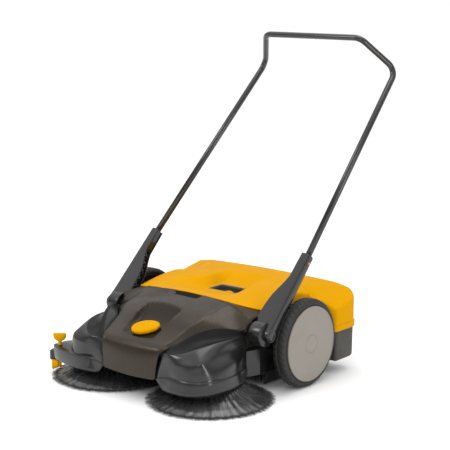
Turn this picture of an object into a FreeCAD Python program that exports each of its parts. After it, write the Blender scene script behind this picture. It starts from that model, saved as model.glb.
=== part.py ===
import FreeCAD, Part
import math
import os
from FreeCAD import Vector

# Manual walk behind sweeper: two flat disc brushes in front, a roller brush between the
# wheels, a lift-out hopper behind and a folding push handle.
# Millimetres. +Z is up, +Y points to the person pushing, +X is that person's left.
# The shapes are drawn with y = 0 at the wheel axis and z = 0 on the floor. They are moved
# by FOOTPRINT_SHIFT when they are written, so that the origin is the centre of the footprint.

os.makedirs("parts", exist_ok=True)

# ---- driving dimensions ----
FOOTPRINT_SHIFT = -38.7      # from the wheel axis to the middle of the footprint, along y
WALL = 3.0                   # moulded shells
RUN = 0.05                   # radial clearance of a running fit
GAP = 0.4                    # clearance of everything else that moves

WHEEL_R = 132.6
TYRE_X0, TYRE_X1 = 299.0, 342.0
RIM_R = 114.0                # seat of the tyre
COVER_R = 112.6              # flat grey wheel disc
COVER_X = 347.0
AXLE_R = 7.0

RING_TEETH, PINION_TEETH = 62, 14
GEAR_MODULE = 2.5
GEAR_X0, GEAR_X1 = 316.0, 328.0

ROLLER_Y, ROLLER_Z = -42.3, 90.0
ROLLER_R = 88.5
SIDE_X0, SIDE_X1 = 222.0, 230.0      # side walls of the base frame

BRUSH_X, BRUSH_Y, BRUSH_R = 193.3, -282.1, 191.7
CROSS_Z = 108.0              # height of the shafts that drive the disc brushes
BEVEL_MODULE = 2.0
BEVEL_PINION_TEETH, BEVEL_GEAR_TEETH = 12, 24
PULLEY_X0, PULLEY_X1 = 234.0, 242.0
SMALL_PULLEY_R, LARGE_PULLEY_R = 11.0, 22.0
BELT_T = 1.6

PIVOT_Y, PIVOT_Z = -160.7, 186.6
HANDLE_LEAN = 45.0
BARREL_R, BARREL_X0, BARREL_X1 = 36.0, 248.0, 300.0
ARM_OUT_X = 321.5
ARM_LENGTH = 281.0
TUBE_R, TUBE_WALL = 9.75, 1.5
TUBE_FOOT = Vector(300.6, 38.5, 384.4)       # where the tube leaves the arm
TUBE_BEND = Vector(263.0, 554.8, 898.0)      # where it turns forward
TUBE_TOP = Vector(188.0, 459.0, 1002.0)      # where it turns into the crossbar
BEND_R = 38.0

KNOB_Y, KNOB_Z, KNOB_TILT = -345.0, 190.0, 20.0
GUIDE_X, GUIDE_Y, GUIDE_R = -358.0, -374.0, 13.0
GUIDE_Z0, GUIDE_Z1 = 40.0, 66.0
PRESSER_X, PRESSER_Y = -320.0, -384.0

X_AXIS, Y_AXIS, Z_AXIS = Vector(1, 0, 0), Vector(0, 1, 0), Vector(0, 0, 1)


# ---- small helpers ----
def save(name, shape):
    """Write one sub-part, moved to the footprint frame."""
    if shape.ShapeType == "Compound" and len(shape.Solids) == 1:
        shape = shape.Solids[0]
    moved = shape.copy()
    moved.translate(Vector(0, FOOTPRINT_SHIFT, 0))
    if not moved.isValid() or not moved.Solids:
        print("NOT VALID:", name)
    moved.exportStep("parts/%s.step" % name)


def mirrored(shape):
    return shape.mirror(Vector(0, 0, 0), X_AXIS)


def save_pair(name, left_shape):
    """The left-hand part and its mirror image."""
    save(name + "_left", left_shape)
    save(name + "_right", mirrored(left_shape))


def box(x0, y0, z0, x1, y1, z1):
    return Part.makeBox(x1 - x0, y1 - y0, z1 - z0, Vector(x0, y0, z0))


def cyl_x(x0, x1, y, z, r, hole=0.0):
    solid = Part.makeCylinder(r, x1 - x0, Vector(x0, y, z), X_AXIS)
    if hole:
        solid = solid.cut(Part.makeCylinder(hole, x1 - x0 + 2, Vector(x0 - 1, y, z), X_AXIS))
    return solid


def cyl_z(x, y, z0, z1, r, hole=0.0):
    solid = Part.makeCylinder(r, z1 - z0, Vector(x, y, z0), Z_AXIS)
    if hole:
        solid = solid.cut(Part.makeCylinder(hole, z1 - z0 + 2, Vector(x, y, z0 - 1), Z_AXIS))
    return solid


def prism(points, direction):
    wire = Part.makePolygon(points + [points[0]])
    return Part.Face(wire).extrude(direction)


def prism_x(yz_points, x0, x1):
    return prism([Vector(x0, y, z) for y, z in yz_points], Vector(x1 - x0, 0, 0))


def prism_z(xy_points, z0, z1):
    return prism([Vector(x, y, z0) for x, y in xy_points], Vector(0, 0, z1 - z0))


def loft(sections):
    """Solid through polygons with the same number of corners."""
    wires = [Part.makePolygon(points + [points[0]]) for points in sections]
    return Part.makeLoft(wires, True, True)


def revolved(rz_points, origin, axis):
    """Turn a closed radius and height outline about an axis along X or Z."""
    if axis == Z_AXIS:
        points = [origin + Vector(r, 0, h) for r, h in rz_points]
    else:
        points = [origin + Vector(h, 0, r) for r, h in rz_points]
    face = Part.Face(Part.makePolygon(points + [points[0]]))
    return face.revolve(origin, axis, 360)


def fused(*shapes):
    result = shapes[0]
    if len(shapes) > 1:
        result = result.fuse(list(shapes[1:]))
    return result.removeSplitter()


# ---- wheels ----
def ring_gear():
    """Internal gear inside the wheel: straight-flanked teeth with backlash."""
    pitch_r = RING_TEETH * GEAR_MODULE / 2
    outer = cyl_x(GEAR_X0, GEAR_X1, 0, WHEEL_R, pitch_r + 9.0, pitch_r + 3.2)
    step = 2 * math.pi / RING_TEETH
    teeth = []
    for i in range(RING_TEETH):
        teeth.append(gear_tooth(pitch_r + 3.4, pitch_r - 1.9, 3.1, 1.3, i * step, 0, WHEEL_R))
    return outer.fuse(teeth)


def gear_tooth(root_r, tip_r, root_w, tip_w, angle, y, z):
    """One tapered spur tooth between two radii about an axis along X."""
    def at(r, w):
        a = angle + w / r
        return Vector(GEAR_X0, y + r * math.cos(a), z + r * math.sin(a))
    corners = [at(root_r, -root_w / 2), at(tip_r, -tip_w / 2),
               at(tip_r, tip_w / 2), at(root_r, root_w / 2)]
    return prism(corners, Vector(GEAR_X1 - GEAR_X0, 0, 0))


def wheel():
    centre = Vector(0, 0, WHEEL_R)
    # Tyre with rounded shoulders, on a flat seat.
    tyre = revolved([(RIM_R, TYRE_X0 + 2), (RIM_R + 8, TYRE_X0), (WHEEL_R - 6, TYRE_X0 + 1),
                     (WHEEL_R, TYRE_X0 + 8), (WHEEL_R, TYRE_X1 - 8), (WHEEL_R - 6, TYRE_X1 - 1),
                     (RIM_R + 8, TYRE_X1), (RIM_R, TYRE_X1 - 2)], centre, X_AXIS)
    # Rim: seat band, web and hub; the ring gear is moulded on the web.
    band = cyl_x(TYRE_X0 + 3, TYRE_X1 - 1, 0, WHEEL_R, RIM_R, RIM_R - 4)
    web = cyl_x(332, 336, 0, WHEEL_R, RIM_R - 3, 12)
    hub = cyl_x(268, 340, 0, WHEEL_R, 17, AXLE_R + 3)
    carrier = cyl_x(GEAR_X1 - 1, 333, 0, WHEEL_R, 86.5, 81)
    rim = fused(band, web, hub, carrier, ring_gear())
    # Flat cover disc with a shallow lip and a small centre cap ring.
    cover = revolved([(0, 342.5), (COVER_R - 2, 342.5), (COVER_R - 2, 341), (COVER_R, 341),
                      (COVER_R, 344), (COVER_R - 3, COVER_X), (0, COVER_X)], centre, X_AXIS)
    groove = cyl_x(COVER_X - 0.8, COVER_X + 1, 0, WHEEL_R, 28, 26.5)
    bush = cyl_x(270, 338, 0, WHEEL_R, AXLE_R + 3, AXLE_R + RUN)
    save_pair("tyre", tyre)
    save_pair("wheel_rim", rim)
    save_pair("wheel_cover", cover.cut(groove))
    save_pair("wheel_bush", bush)


def stub_axle():
    """Steel axle pressed in the side wall, with a collar and an end washer."""
    shaft = cyl_x(SIDE_X0 - 3, 340.5, 0, WHEEL_R, AXLE_R)
    collar = cyl_x(256, 264, 0, WHEEL_R, 14)
    save_pair("stub_axle", fused(shaft, collar))


# ---- drive train ----
def drive_pinion():
    """Pinion and belt pulley moulded on one sleeve, free to turn on the roller's shaft."""
    pitch_r = PINION_TEETH * GEAR_MODULE / 2
    root_r = pitch_r - 3.1
    step = 2 * math.pi / PINION_TEETH
    towards_wheel = math.atan2(WHEEL_R - ROLLER_Z, -ROLLER_Y)
    away = towards_wheel + math.pi
    # The pinion's space faces the ring gear's tooth where the two pitch circles touch.
    nearest = round(away / (2 * math.pi / RING_TEETH)) * (2 * math.pi / RING_TEETH)
    phase = nearest + (nearest - away) * (RING_TEETH / PINION_TEETH - 1) + step / 2
    teeth = [gear_tooth(root_r - 0.3, pitch_r + 1.9, 4.4, 1.1, phase + i * step, ROLLER_Y, ROLLER_Z)
             for i in range(PINION_TEETH)]
    body = cyl_x(GEAR_X0, GEAR_X1, ROLLER_Y, ROLLER_Z, root_r)
    sleeve = cyl_x(PULLEY_X0, GEAR_X0 + 1, ROLLER_Y, ROLLER_Z, 8.5)
    pulley = cyl_x(PULLEY_X0 - 0.5, PULLEY_X1 + 0.5, ROLLER_Y, ROLLER_Z, SMALL_PULLEY_R)
    flanges = [cyl_x(x, x + 1.2, ROLLER_Y, ROLLER_Z, SMALL_PULLEY_R + 3.5)
               for x in (PULLEY_X0 - 1.5, PULLEY_X1 + 0.3)]
    bore = cyl_x(PULLEY_X0 - 3, GEAR_X1 + 1, ROLLER_Y, ROLLER_Z, 5.0 + RUN)
    solid = fused(body, sleeve, pulley, *(flanges + teeth))
    save_pair("drive_pinion", solid.cut(bore))


def bevel(teeth, mate_teeth, apex, back, face=8.0):
    """Straight bevel gear about +Z with its apex at the given height above z = 0."""
    pitch = math.atan2(teeth, mate_teeth)
    outer_r = teeth * BEVEL_MODULE / 2
    cone = outer_r / math.sin(pitch)
    inner = (cone - face) / cone
    add, ded = 0.75 * BEVEL_MODULE, 1.15 * BEVEL_MODULE

    def ring_point(height, scale):
        """Radius and z of a point 'height' outside the pitch cone, at the big end."""
        r = (outer_r + height * math.cos(pitch)) * scale
        z = apex - (outer_r / math.tan(pitch) - height * math.sin(pitch)) * scale
        return r, z
    root_out, root_in = ring_point(-ded, 1.0), ring_point(-ded, inner)
    back_z = root_out[1] - back
    blank = revolved([(0, back_z), (root_out[0], back_z), root_out, root_in,
                      (0, root_in[1])], Vector(0, 0, 0), Z_AXIS)
    solids = [blank]
    for i in range(teeth):
        a = 2 * math.pi * i / teeth
        sections = []
        for scale in (1.0, inner):
            section = []
            for height, width in ((-ded - 0.4, 3.3), (add, 0.9), (add, -0.9), (-ded - 0.4, -3.3)):
                r, z = ring_point(height, scale)
                turn = a + width * scale / 2 / r
                section.append(Vector(r * math.cos(turn), r * math.sin(turn), z))
            sections.append(section)
        solids.append(loft(sections))
    return solids[0].fuse(solids[1:])


def bevel_drive():
    """Cross shaft with its pulley and bevel pinion, and the bevel gear on the brush spindle."""
    gear_r = BEVEL_GEAR_TEETH * BEVEL_MODULE / 2
    pinion_r = BEVEL_PINION_TEETH * BEVEL_MODULE / 2
    # Apex of both cones is where the two shafts' axes cross.
    # The gear lies above the cross shaft, so that both brushes sweep inwards in front.
    gear = bevel(BEVEL_GEAR_TEETH, BEVEL_PINION_TEETH, pinion_r, 4.0)
    gear.rotate(Vector(0, 0, pinion_r), X_AXIS, 180)
    gear.translate(Vector(BRUSH_X, BRUSH_Y, CROSS_Z - pinion_r))
    gear = gear.cut(cyl_z(BRUSH_X, BRUSH_Y, 80, 150, 6.0))
    pinion = bevel(BEVEL_PINION_TEETH, BEVEL_GEAR_TEETH, gear_r, 1.0)
    pinion.rotate(Vector(0, 0, gear_r), Z_AXIS, 180.0 / BEVEL_PINION_TEETH)
    pinion.rotate(Vector(0, 0, gear_r), Y_AXIS, -90)
    pinion.translate(Vector(BRUSH_X, BRUSH_Y, CROSS_Z - gear_r))
    pinion = pinion.cut(cyl_x(190, 240, BRUSH_Y, CROSS_Z, 4.0))
    shaft = cyl_x(209.5, PULLEY_X1 + 3, BRUSH_Y, CROSS_Z, 4.0)
    pulley = cyl_x(PULLEY_X0 - 0.5, PULLEY_X1 + 0.5, BRUSH_Y, CROSS_Z, LARGE_PULLEY_R)
    flanges = [cyl_x(x, x + 1.2, BRUSH_Y, CROSS_Z, LARGE_PULLEY_R + 3.0)
               for x in (PULLEY_X0 - 1.5, PULLEY_X1 + 0.3)]
    pulley = fused(pulley, *flanges).cut(cyl_x(220, 260, BRUSH_Y, CROSS_Z, 4.0))
    save_pair("bevel_gear", gear)
    save_pair("bevel_pinion", pinion)
    save_pair("cross_shaft", shaft)
    save_pair("cross_pulley", pulley)


def drive_belt():
    """Open flat belt round both pulleys."""
    def loop(extra):
        dy, dz = ROLLER_Y - BRUSH_Y, ROLLER_Z - CROSS_Z
        span = math.hypot(dy, dz)
        big, small = LARGE_PULLEY_R + extra, SMALL_PULLEY_R + extra
        along = math.atan2(dz, dy)
        open_angle = math.acos((big - small) / span)
        points = []
        for y, z, r in ((BRUSH_Y, CROSS_Z, big), (ROLLER_Y, ROLLER_Z, small)):
            for side in (1, -1):
                a = along + side * open_angle
                points.append(Vector(0, y + r * math.cos(a), z + r * math.sin(a)))
        top_big, low_big, top_small, low_small = points
        far_big = Vector(0, BRUSH_Y - big * math.cos(along), CROSS_Z - big * math.sin(along))
        far_small = Vector(0, ROLLER_Y + small * math.cos(along), ROLLER_Z + small * math.sin(along))
        curves = [Part.LineSegment(top_big, top_small), Part.Arc(top_small, far_small, low_small),
                  Part.LineSegment(low_small, low_big), Part.Arc(low_big, far_big, top_big)]
        return Part.Face(Part.Wire([curve.toShape() for curve in curves]))
    flat = loop(0.3 + BELT_T).cut(loop(0.3))
    belt = flat.extrude(Vector(PULLEY_X1 - PULLEY_X0 - 0.6, 0, 0))
    belt.translate(Vector(PULLEY_X0 + 0.3, 0, 0))
    save_pair("drive_belt", belt)


# ---- brushes ----
def disc_brush():
    centre = Vector(BRUSH_X, BRUSH_Y, 0)
    plate = revolved([(0, 58), (84, 58), (86, 62), (40, 68), (22, 72), (0, 72)], centre, Z_AXIS)
    spindle = cyl_z(BRUSH_X, BRUSH_Y, 69, 126, 6.0)
    bristles = revolved([(58, 57.9), (82, 57.9), (91, 47.5), (112, 40), (150, 27), (BRUSH_R, 4),
                         (BRUSH_R, 0), (176, 0), (138, 12), (76, 38), (58, 42)], centre, Z_AXIS)
    save_pair("brush_plate", fused(plate, spindle))
    save_pair("brush_bristles", bristles)


def roller_brush():
    inner_end = SIDE_X0 - 3
    core = cyl_x(-inner_end, inner_end, ROLLER_Y, ROLLER_Z, 30)
    shaft = cyl_x(-GEAR_X1 - 3, GEAR_X1 + 3, ROLLER_Y, ROLLER_Z, 5.0)
    bristles = cyl_x(-inner_end + 3, inner_end - 3, ROLLER_Y, ROLLER_Z, ROLLER_R, 30)
    save("roller_core", fused(core, shaft))
    save("roller_bristles", bristles)


# ---- base frame ----
def half_outline(points):
    """Close a right-hand outline with its mirror image."""
    return points + [(-x, y) for x, y in reversed(points) if x]


def base_frame():
    """Moulded deck over the disc brushes, with the two side walls that carry the wheels."""
    deck = prism_z(half_outline([(SIDE_X1, -142), (SIDE_X1, -196), (258, -232), (276, -300), (266, -360),
                                 (230, -400), (134, -402), (130, -386), (0, -386)]), 76, 80)
    wall = prism_x([(-318, 78), (-318, 96), (-300, 128), (-264, 128), (-232, 112), (-200, 128), (-187, 190),
                    (-176, 205), (-140, 205), (-118, 186), (-20, 186), (52, 150), (52, 62), (-60, 50),
                    (-140, 62)], SIDE_X0, SIDE_X1)
    post = cyl_x(SIDE_X0 - 1, SIDE_X1, BRUSH_Y, CROSS_Z, 11)
    axle_boss = cyl_x(SIDE_X1 - 1, 247, 0, WHEEL_R, 20)
    pivot_boss = cyl_x(SIDE_X1 - 1, BARREL_X0 - GAP, PIVOT_Y, PIVOT_Z, 30)
    half = fused(wall, post, axle_boss, pivot_boss)
    half = half.cut(cyl_x(190, 260, BRUSH_Y, CROSS_Z, 4.0 + RUN))
    half = half.cut(cyl_x(200, 260, 0, WHEEL_R, AXLE_R))
    half = half.cut(cyl_x(200, 260, PIVOT_Y, PIVOT_Z, 8.0))
    half = half.cut(cyl_x(200, 260, ROLLER_Y, ROLLER_Z, 11.0))
    cross_wall = box(-SIDE_X0 - 1, -146, 78, SIDE_X0 + 1, -142, 100)
    frame = fused(deck, half, mirrored(half), cross_wall)
    for sign in (-1, 1):
        frame = frame.cut(cyl_z(sign * BRUSH_X, BRUSH_Y, 70, 90, 10.0))
    frame = frame.cut(cyl_z(0, -165, 60, 110, 9.0))
    save("base_frame", frame)
    bearings = [cyl_z(sign * BRUSH_X, BRUSH_Y, 74, 82.5, 10.0, 6.0 + RUN) for sign in (-1, 1)]
    save("spindle_bearings", Part.makeCompound(bearings))
    ends = [(SIDE_X0 - 1, SIDE_X1), (-SIDE_X1, -SIDE_X0 + 1)]
    shaft_bearings = [cyl_x(x0, x1, ROLLER_Y, ROLLER_Z, 11.0, 5.0 + RUN) for x0, x1 in ends]
    save("shaft_bearings", Part.makeCompound(shaft_bearings))
    pins = [cyl_x(SIDE_X0 - 4, BARREL_X1 - 4, PIVOT_Y, PIVOT_Z, 8.0).fuse(
            cyl_x(SIDE_X0 - 8, SIDE_X0, PIVOT_Y, PIVOT_Z, 13))]
    save("pivot_pins", Part.makeCompound([pins[0], mirrored(pins[0])]))


def roller_tunnel():
    """Curved sheet over the roller, open at the back towards the hopper."""
    tunnel = cyl_x(-SIDE_X0, SIDE_X0, ROLLER_Y, ROLLER_Z, 96, 93)
    tunnel = tunnel.cut(box(-300, ROLLER_Y + 52, 0, 300, 200, 300))
    tunnel = tunnel.cut(box(-300, -300, -50, 300, 200, 52))
    save("roller_tunnel", tunnel)


def drive_cover():
    """Cover over the belt between the brush housing and the wheel."""
    outer = [(SIDE_X1, -188), (249, -186), (263, -140), (263, -16), (SIDE_X1, -16)]
    inner = [(SIDE_X1 - 1, -184), (246, -182), (261, -139), (261, -18), (SIDE_X1 - 1, -18)]
    solid = prism_z(outer, 56, 133).cut(prism_z(inner, 58, 131))
    solid = solid.cut(cyl_x(255, 270, ROLLER_Y, ROLLER_Z, 9.5))
    solid = solid.cut(box(SIDE_X1 - 1, -200, 70, 244, -150, 129))
    solid = solid.cut(cyl_x(220, 300, 0, WHEEL_R, 21))
    save_pair("drive_cover", solid)


# ---- covers ----
def rounded_section(cx, cy, ax, ay, z, power=2.6, count=28):
    """Closed superellipse outline at one height."""
    points = []
    for i in range(count):
        t = 2 * math.pi * i / count
        c, s = math.cos(t), math.sin(t)
        points.append(Vector(cx + ax * math.copysign(abs(c) ** (2 / power), c),
                             cy + ay * math.copysign(abs(s) ** (2 / power), s), z))
    curve = Part.BSplineCurve()
    curve.interpolate(points, PeriodicFlag=True)
    return Part.Wire(curve.toShape())


def dome(inset):
    """Brush housing volume: upright skirt below a bulged top."""
    skirt_low = rounded_section(183, -300, 104 - inset, 128 - inset, 50 - inset * 2)
    skirt_high = rounded_section(183, -300, 100 - inset, 123 - inset, 93 - inset * 0.4)
    skirt = Part.makeLoft([skirt_low, skirt_high], True, True)
    sections = [(182, -296, 96, 118, 92), (180, -292, 90, 111, 118), (179, -288, 82, 104, 146),
                (180, -284, 70, 92, 172), (184, -278, 52, 68, 198), (188, -272, 24, 34, 214)]
    top = Part.makeLoft([rounded_section(x, y, half_x - inset, half_y - inset, z - inset * (z - 50) / 130)
                         for x, y, half_x, half_y, z in sections], True, False)
    return skirt.fuse(top)


# Hood stations: y, half-width and height of the foot, the waist, the crease and the crown.
HOOD_STATIONS = [
    (-411, (99, 71), (107, 120), (113, 166), 165),
    (-350, (122, 96), (131, 150), (131, 191), 199),
    (-306, (150, 118), (154, 170), (140, 220), 231),
    (-252, (188, 140), (186, 190), (152, 237), 250),
    (-200, (231, 150), (231, 205), (170, 247), 261),
    (-156, (247, 150), (247, 226), (158, 258), 267),
]


def hood_volume(inset):
    sections = []
    for i, (y, foot, waist, crease, crown) in enumerate(HOOD_STATIONS):
        # The front section leans back a little, as the front face does.
        slope = 8.0 / 95.0 if i == 0 else 0.0
        y += inset if i == 0 else 0
        corners = [(foot[0] - inset, foot[1] - (2 if inset else 0)), (waist[0] - inset, waist[1]),
                   (crease[0] - inset, crease[1] - inset)]
        right = [Vector(x, y + (z - 120) * slope, z) for x, z in corners]
        top = Vector(0, y + (crown - inset - 120) * slope, crown - inset)
        left = [Vector(-p.x, p.y, p.z) for p in reversed(right)]
        sections.append(right + [top] + left)
    return loft(sections)


def lid_front(x):
    """Front edge of the hopper lid: y and height against the distance from the middle."""
    return -156.5 + 54.5 * (abs(x) / 247.0) ** 3, 267 - 28 * (abs(x) / 247.0) ** 1.9


def hood_and_housings():
    outer = hood_volume(0)
    inner = hood_volume(WALL)
    inner_back = inner.copy()
    inner_back.translate(Vector(0, 1, 0))
    shell = outer.cut(inner).cut(inner_back)
    shell = shell.cut(box(-400, -157.5, 100, 400, -150, 258))
    # Ledge behind the ridge, up to the front edge of the lid.
    ledge_sections = []
    for x in (-246, -200, -140, -70, 0, 70, 140, 200, 246):
        y_back, z = lid_front(x)
        ledge_sections.append([Vector(x, -157.5, z - 7), Vector(x, max(y_back, -155.5), z - 7),
                               Vector(x, max(y_back, -155.5), z - 10), Vector(x, -157.5, z - 10)])
    # Recess for the knob and the finger slot in the rear edge.
    tilt = Vector(0, -math.sin(math.radians(KNOB_TILT)), math.cos(math.radians(KNOB_TILT)))
    seat = Vector(0, KNOB_Y, KNOB_Z)
    recess = Part.makeCylinder(48, 60, seat, tilt)
    shell = shell.cut(recess)
    floor = Part.makeCylinder(50.5, 3, seat - tilt * 3, tilt)
    floor = floor.cut(Part.makeCylinder(9, 9, seat - tilt * 5, tilt))
    shell = shell.fuse(floor.common(outer)).removeSplitter()
    slot = box(-64, -166, 250, 64, -154, 280)
    shell = shell.cut(slot)
    shell = fused(shell, loft(ledge_sections).cut(box(-400, -200, 0, 400, -156, 300)))
    pivot_room = cyl_x(246, 330, PIVOT_Y, PIVOT_Z, BARREL_R + 2)
    boss_room = cyl_x(SIDE_X1 - 2, 330, PIVOT_Y, PIVOT_Z, 32)
    wall_room = box(SIDE_X0 - 1, -215, 100, SIDE_X1 + 1, -100, 207)
    for room in (pivot_room, boss_room, wall_room):
        shell = shell.cut(room).cut(mirrored(room))
    save("hood", biggest(shell))

    shell = dome(0).cut(dome(WALL))
    foot_line = [(foot[0], y) for y, foot, _, _, _ in HOOD_STATIONS]
    under_hood = prism_z([(0, -500), (104, -500)] + foot_line + [(247, 0), (0, 0)], 0, 300)
    shell = shell.cut(hood_volume(0)).cut(under_hood)
    shell = shell.cut(cyl_x(SIDE_X1 - 2, 330, PIVOT_Y, PIVOT_Z, BARREL_R + 2))
    shell = shell.cut(box(SIDE_X0 - 6, -214, 0, 270, -100, 140))
    shell = biggest(shell.cut(box(SIDE_X0 - 1, -240, 0, SIDE_X1 + 1, -100, 300)))
    save_pair("brush_housing", shell)
    # The right-hand housing has a corner plate with the guide roller and the bristle presser.
    corner = corner_plate(0, 50, 91).cut(corner_plate(WALL, 40, 88)).cut(mirrored(dome(0)))
    ears = []
    for z0 in (GUIDE_Z0 - 4, GUIDE_Z1):
        ears.append(fused(cyl_z(GUIDE_X, GUIDE_Y, z0, z0 + 4, 9),
                          prism_z([(-360, -383), (-340, -386), (-340, -366), (-356, -365)], z0, z0 + 4)))
    web = prism_z([(-344.5, -384), (-341, -386), (-340, -370), (-344.5, -370)], GUIDE_Z0 - 4, GUIDE_Z1 + 4)
    corner = fused(corner, web, *ears).cut(cyl_z(PRESSER_X, PRESSER_Y, 40, 100, 4.0 + GAP))
    corner = corner.cut(cyl_z(GUIDE_X, GUIDE_Y, 30, 80, 3.5))
    corner = corner.cut(cyl_z(GUIDE_X, GUIDE_Y, GUIDE_Z0, GUIDE_Z1, GUIDE_R + 0.8))
    save("corner_bracket", biggest(corner))
    save("guide_pin", cyl_z(GUIDE_X, GUIDE_Y, GUIDE_Z0 - 4, GUIDE_Z1 + 4, 3.5))


def corner_plate(inset, z0, z1):
    """Plan of the plate that reaches out from the right-hand skirt."""
    i = inset
    return prism_z([(-230, -402 + i), (-300, -400 + i), (-341 + i, -389 + i), (-345 + i, -380 + i),
                    (-343 + i, -337 - i), (-325, -307 - i), (-270, -290 - i)], z0, z1)


def biggest(shape):
    """The largest solid of a result, without loose crumbs."""
    return max(shape.Solids, key=lambda solid: solid.Volume)


# ---- hopper ----
def lid_volume(inset):
    """Crowned lid: a middle part between the wheels and two wings behind them."""
    top_z, rear_y, foot_z = 270 - inset, 266 - inset, 150 - inset

    def middle(x):
        y_front, z_front = lid_front(x)
        crown = top_z - 9 * (abs(x) / 247.0) ** 2
        z_rear = 258 - inset
        return [Vector(x, y_front + inset, 196 - inset), Vector(x, y_front + inset, z_front - inset),
                Vector(x, 60, crown), Vector(x, rear_y - 6, z_rear), Vector(x, rear_y, z_rear - 8),
                Vector(x, rear_y, foot_z), Vector(x, 143 + inset, foot_z), Vector(x, 60, 196 - inset)]
    half = 247.0 - inset
    solid = loft([middle(x) for x in (-half, -158, -80, 0, 80, 158, half)])

    def wing(x, y0, z_front, z_back):
        y0, z_front, z_back = y0 + inset, z_front - inset, z_back - inset
        corners = [(y0, foot_z), (y0, z_front), (200, z_back), (rear_y - 6, z_back - 2),
                   (rear_y, z_back - 10), (rear_y, foot_z)]
        return [Vector(x, y, z) for y, z in corners]
    wings = loft([wing(half - 2, 137, 240, 258), wing(300, 139, 226, 246),
                  wing(339 - inset, 143, 204, 226)])
    return fused(solid, wings, mirrored(wings))


def hopper():
    lid = lid_volume(0).cut(lid_volume(WALL))
    rim_line = [(0.0, 140), (339, 140), (342, 144), (342, 262), (336, 269), (0.0, 269)]
    rim_out = prism_z(half_outline(rim_line), 138, 155)
    rim_in = prism_z(half_outline([(0.0, 141), (333, 146), (333, 260), (0.0, 260)]), 130, 160)
    rim = rim_out.cut(rim_in).cut(box(-250, 100, 100, 250, 150, 200))
    opening = box(-55, 2, 200, 55, 72, 300)
    lid = fused(lid, rim).cut(opening)
    save("hopper_lid", biggest(lid))
    # Grab cup below the opening, with a yellow curved grip in it.
    cup = box(-58, -1, 222, 58, 75, 262).cut(box(-55.5, 1.5, 225, 55.5, 72.5, 300))
    cup = cup.cut(lid_volume(0).cut(lid_volume(WALL)))
    save("grab_cup", biggest(cup))
    bar = cyl_x(-50, 50, 44, 218, 34, 30).common(box(-50, 2.5, 226, 50, 44, 260))
    save("hopper_grip", bar)
    # Tub: low wide bin behind the wheels, narrow throat over the roller.
    outer = [(218, 56), (218, 143), (335, 143), (335, 250), (322, 262)]
    inner = [(215, 59), (215, 146), (332, 146), (332, 249), (320, 259)]
    bin_out = prism_z(half_outline(outer), 40, 137.5)
    bin_in = prism_z(half_outline(inner), 43, 140)
    throat = box(-218, -96, 190, 218, 146, 214).cut(box(-215, -93, 193, 215, 150, 216))
    throat = fused(throat, box(-218, 56, 137, -215, 146, 194), box(215, 56, 137, 218, 146, 194))
    throat = throat.cut(box(-215, 59, 185, 215, 160, 200))
    tub = fused(bin_out.cut(bin_in), throat)
    tub = tub.cut(box(-205, 50, 62, 205, 62, 136))
    save("hopper_tub", tub)
    save("hopper_front_panel", box(-218, 53.2, 137.8, 218, 56, 187))


# ---- handle ----
def lean(shape):
    """Turn an arm drawn along +Y to the handle's lean and set it on its pivot."""
    shape = shape.copy()
    shape.rotate(Vector(0, 0, 0), X_AXIS, HANDLE_LEAN)
    shape.translate(Vector(0, PIVOT_Y, PIVOT_Z))
    return shape


def tube_path(points, radius):
    """Straight runs joined by tangent arcs."""
    edges, start = [], points[0]
    for before, corner, after in zip(points, points[1:], points[2:]):
        back, ahead = (before - corner).normalize(), (after - corner).normalize()
        half_angle = back.getAngle(ahead) / 2
        reach = radius / math.tan(half_angle)
        p0, p1 = corner + back * reach, corner + ahead * reach
        bisector = (back + ahead).normalize()
        middle = corner + bisector * (radius / math.sin(half_angle) - radius)
        edges += [Part.LineSegment(start, p0).toShape(), Part.Arc(p0, middle, p1).toShape()]
        start = p1
    edges.append(Part.LineSegment(start, points[-1]).toShape())
    return Part.Wire(edges)


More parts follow.
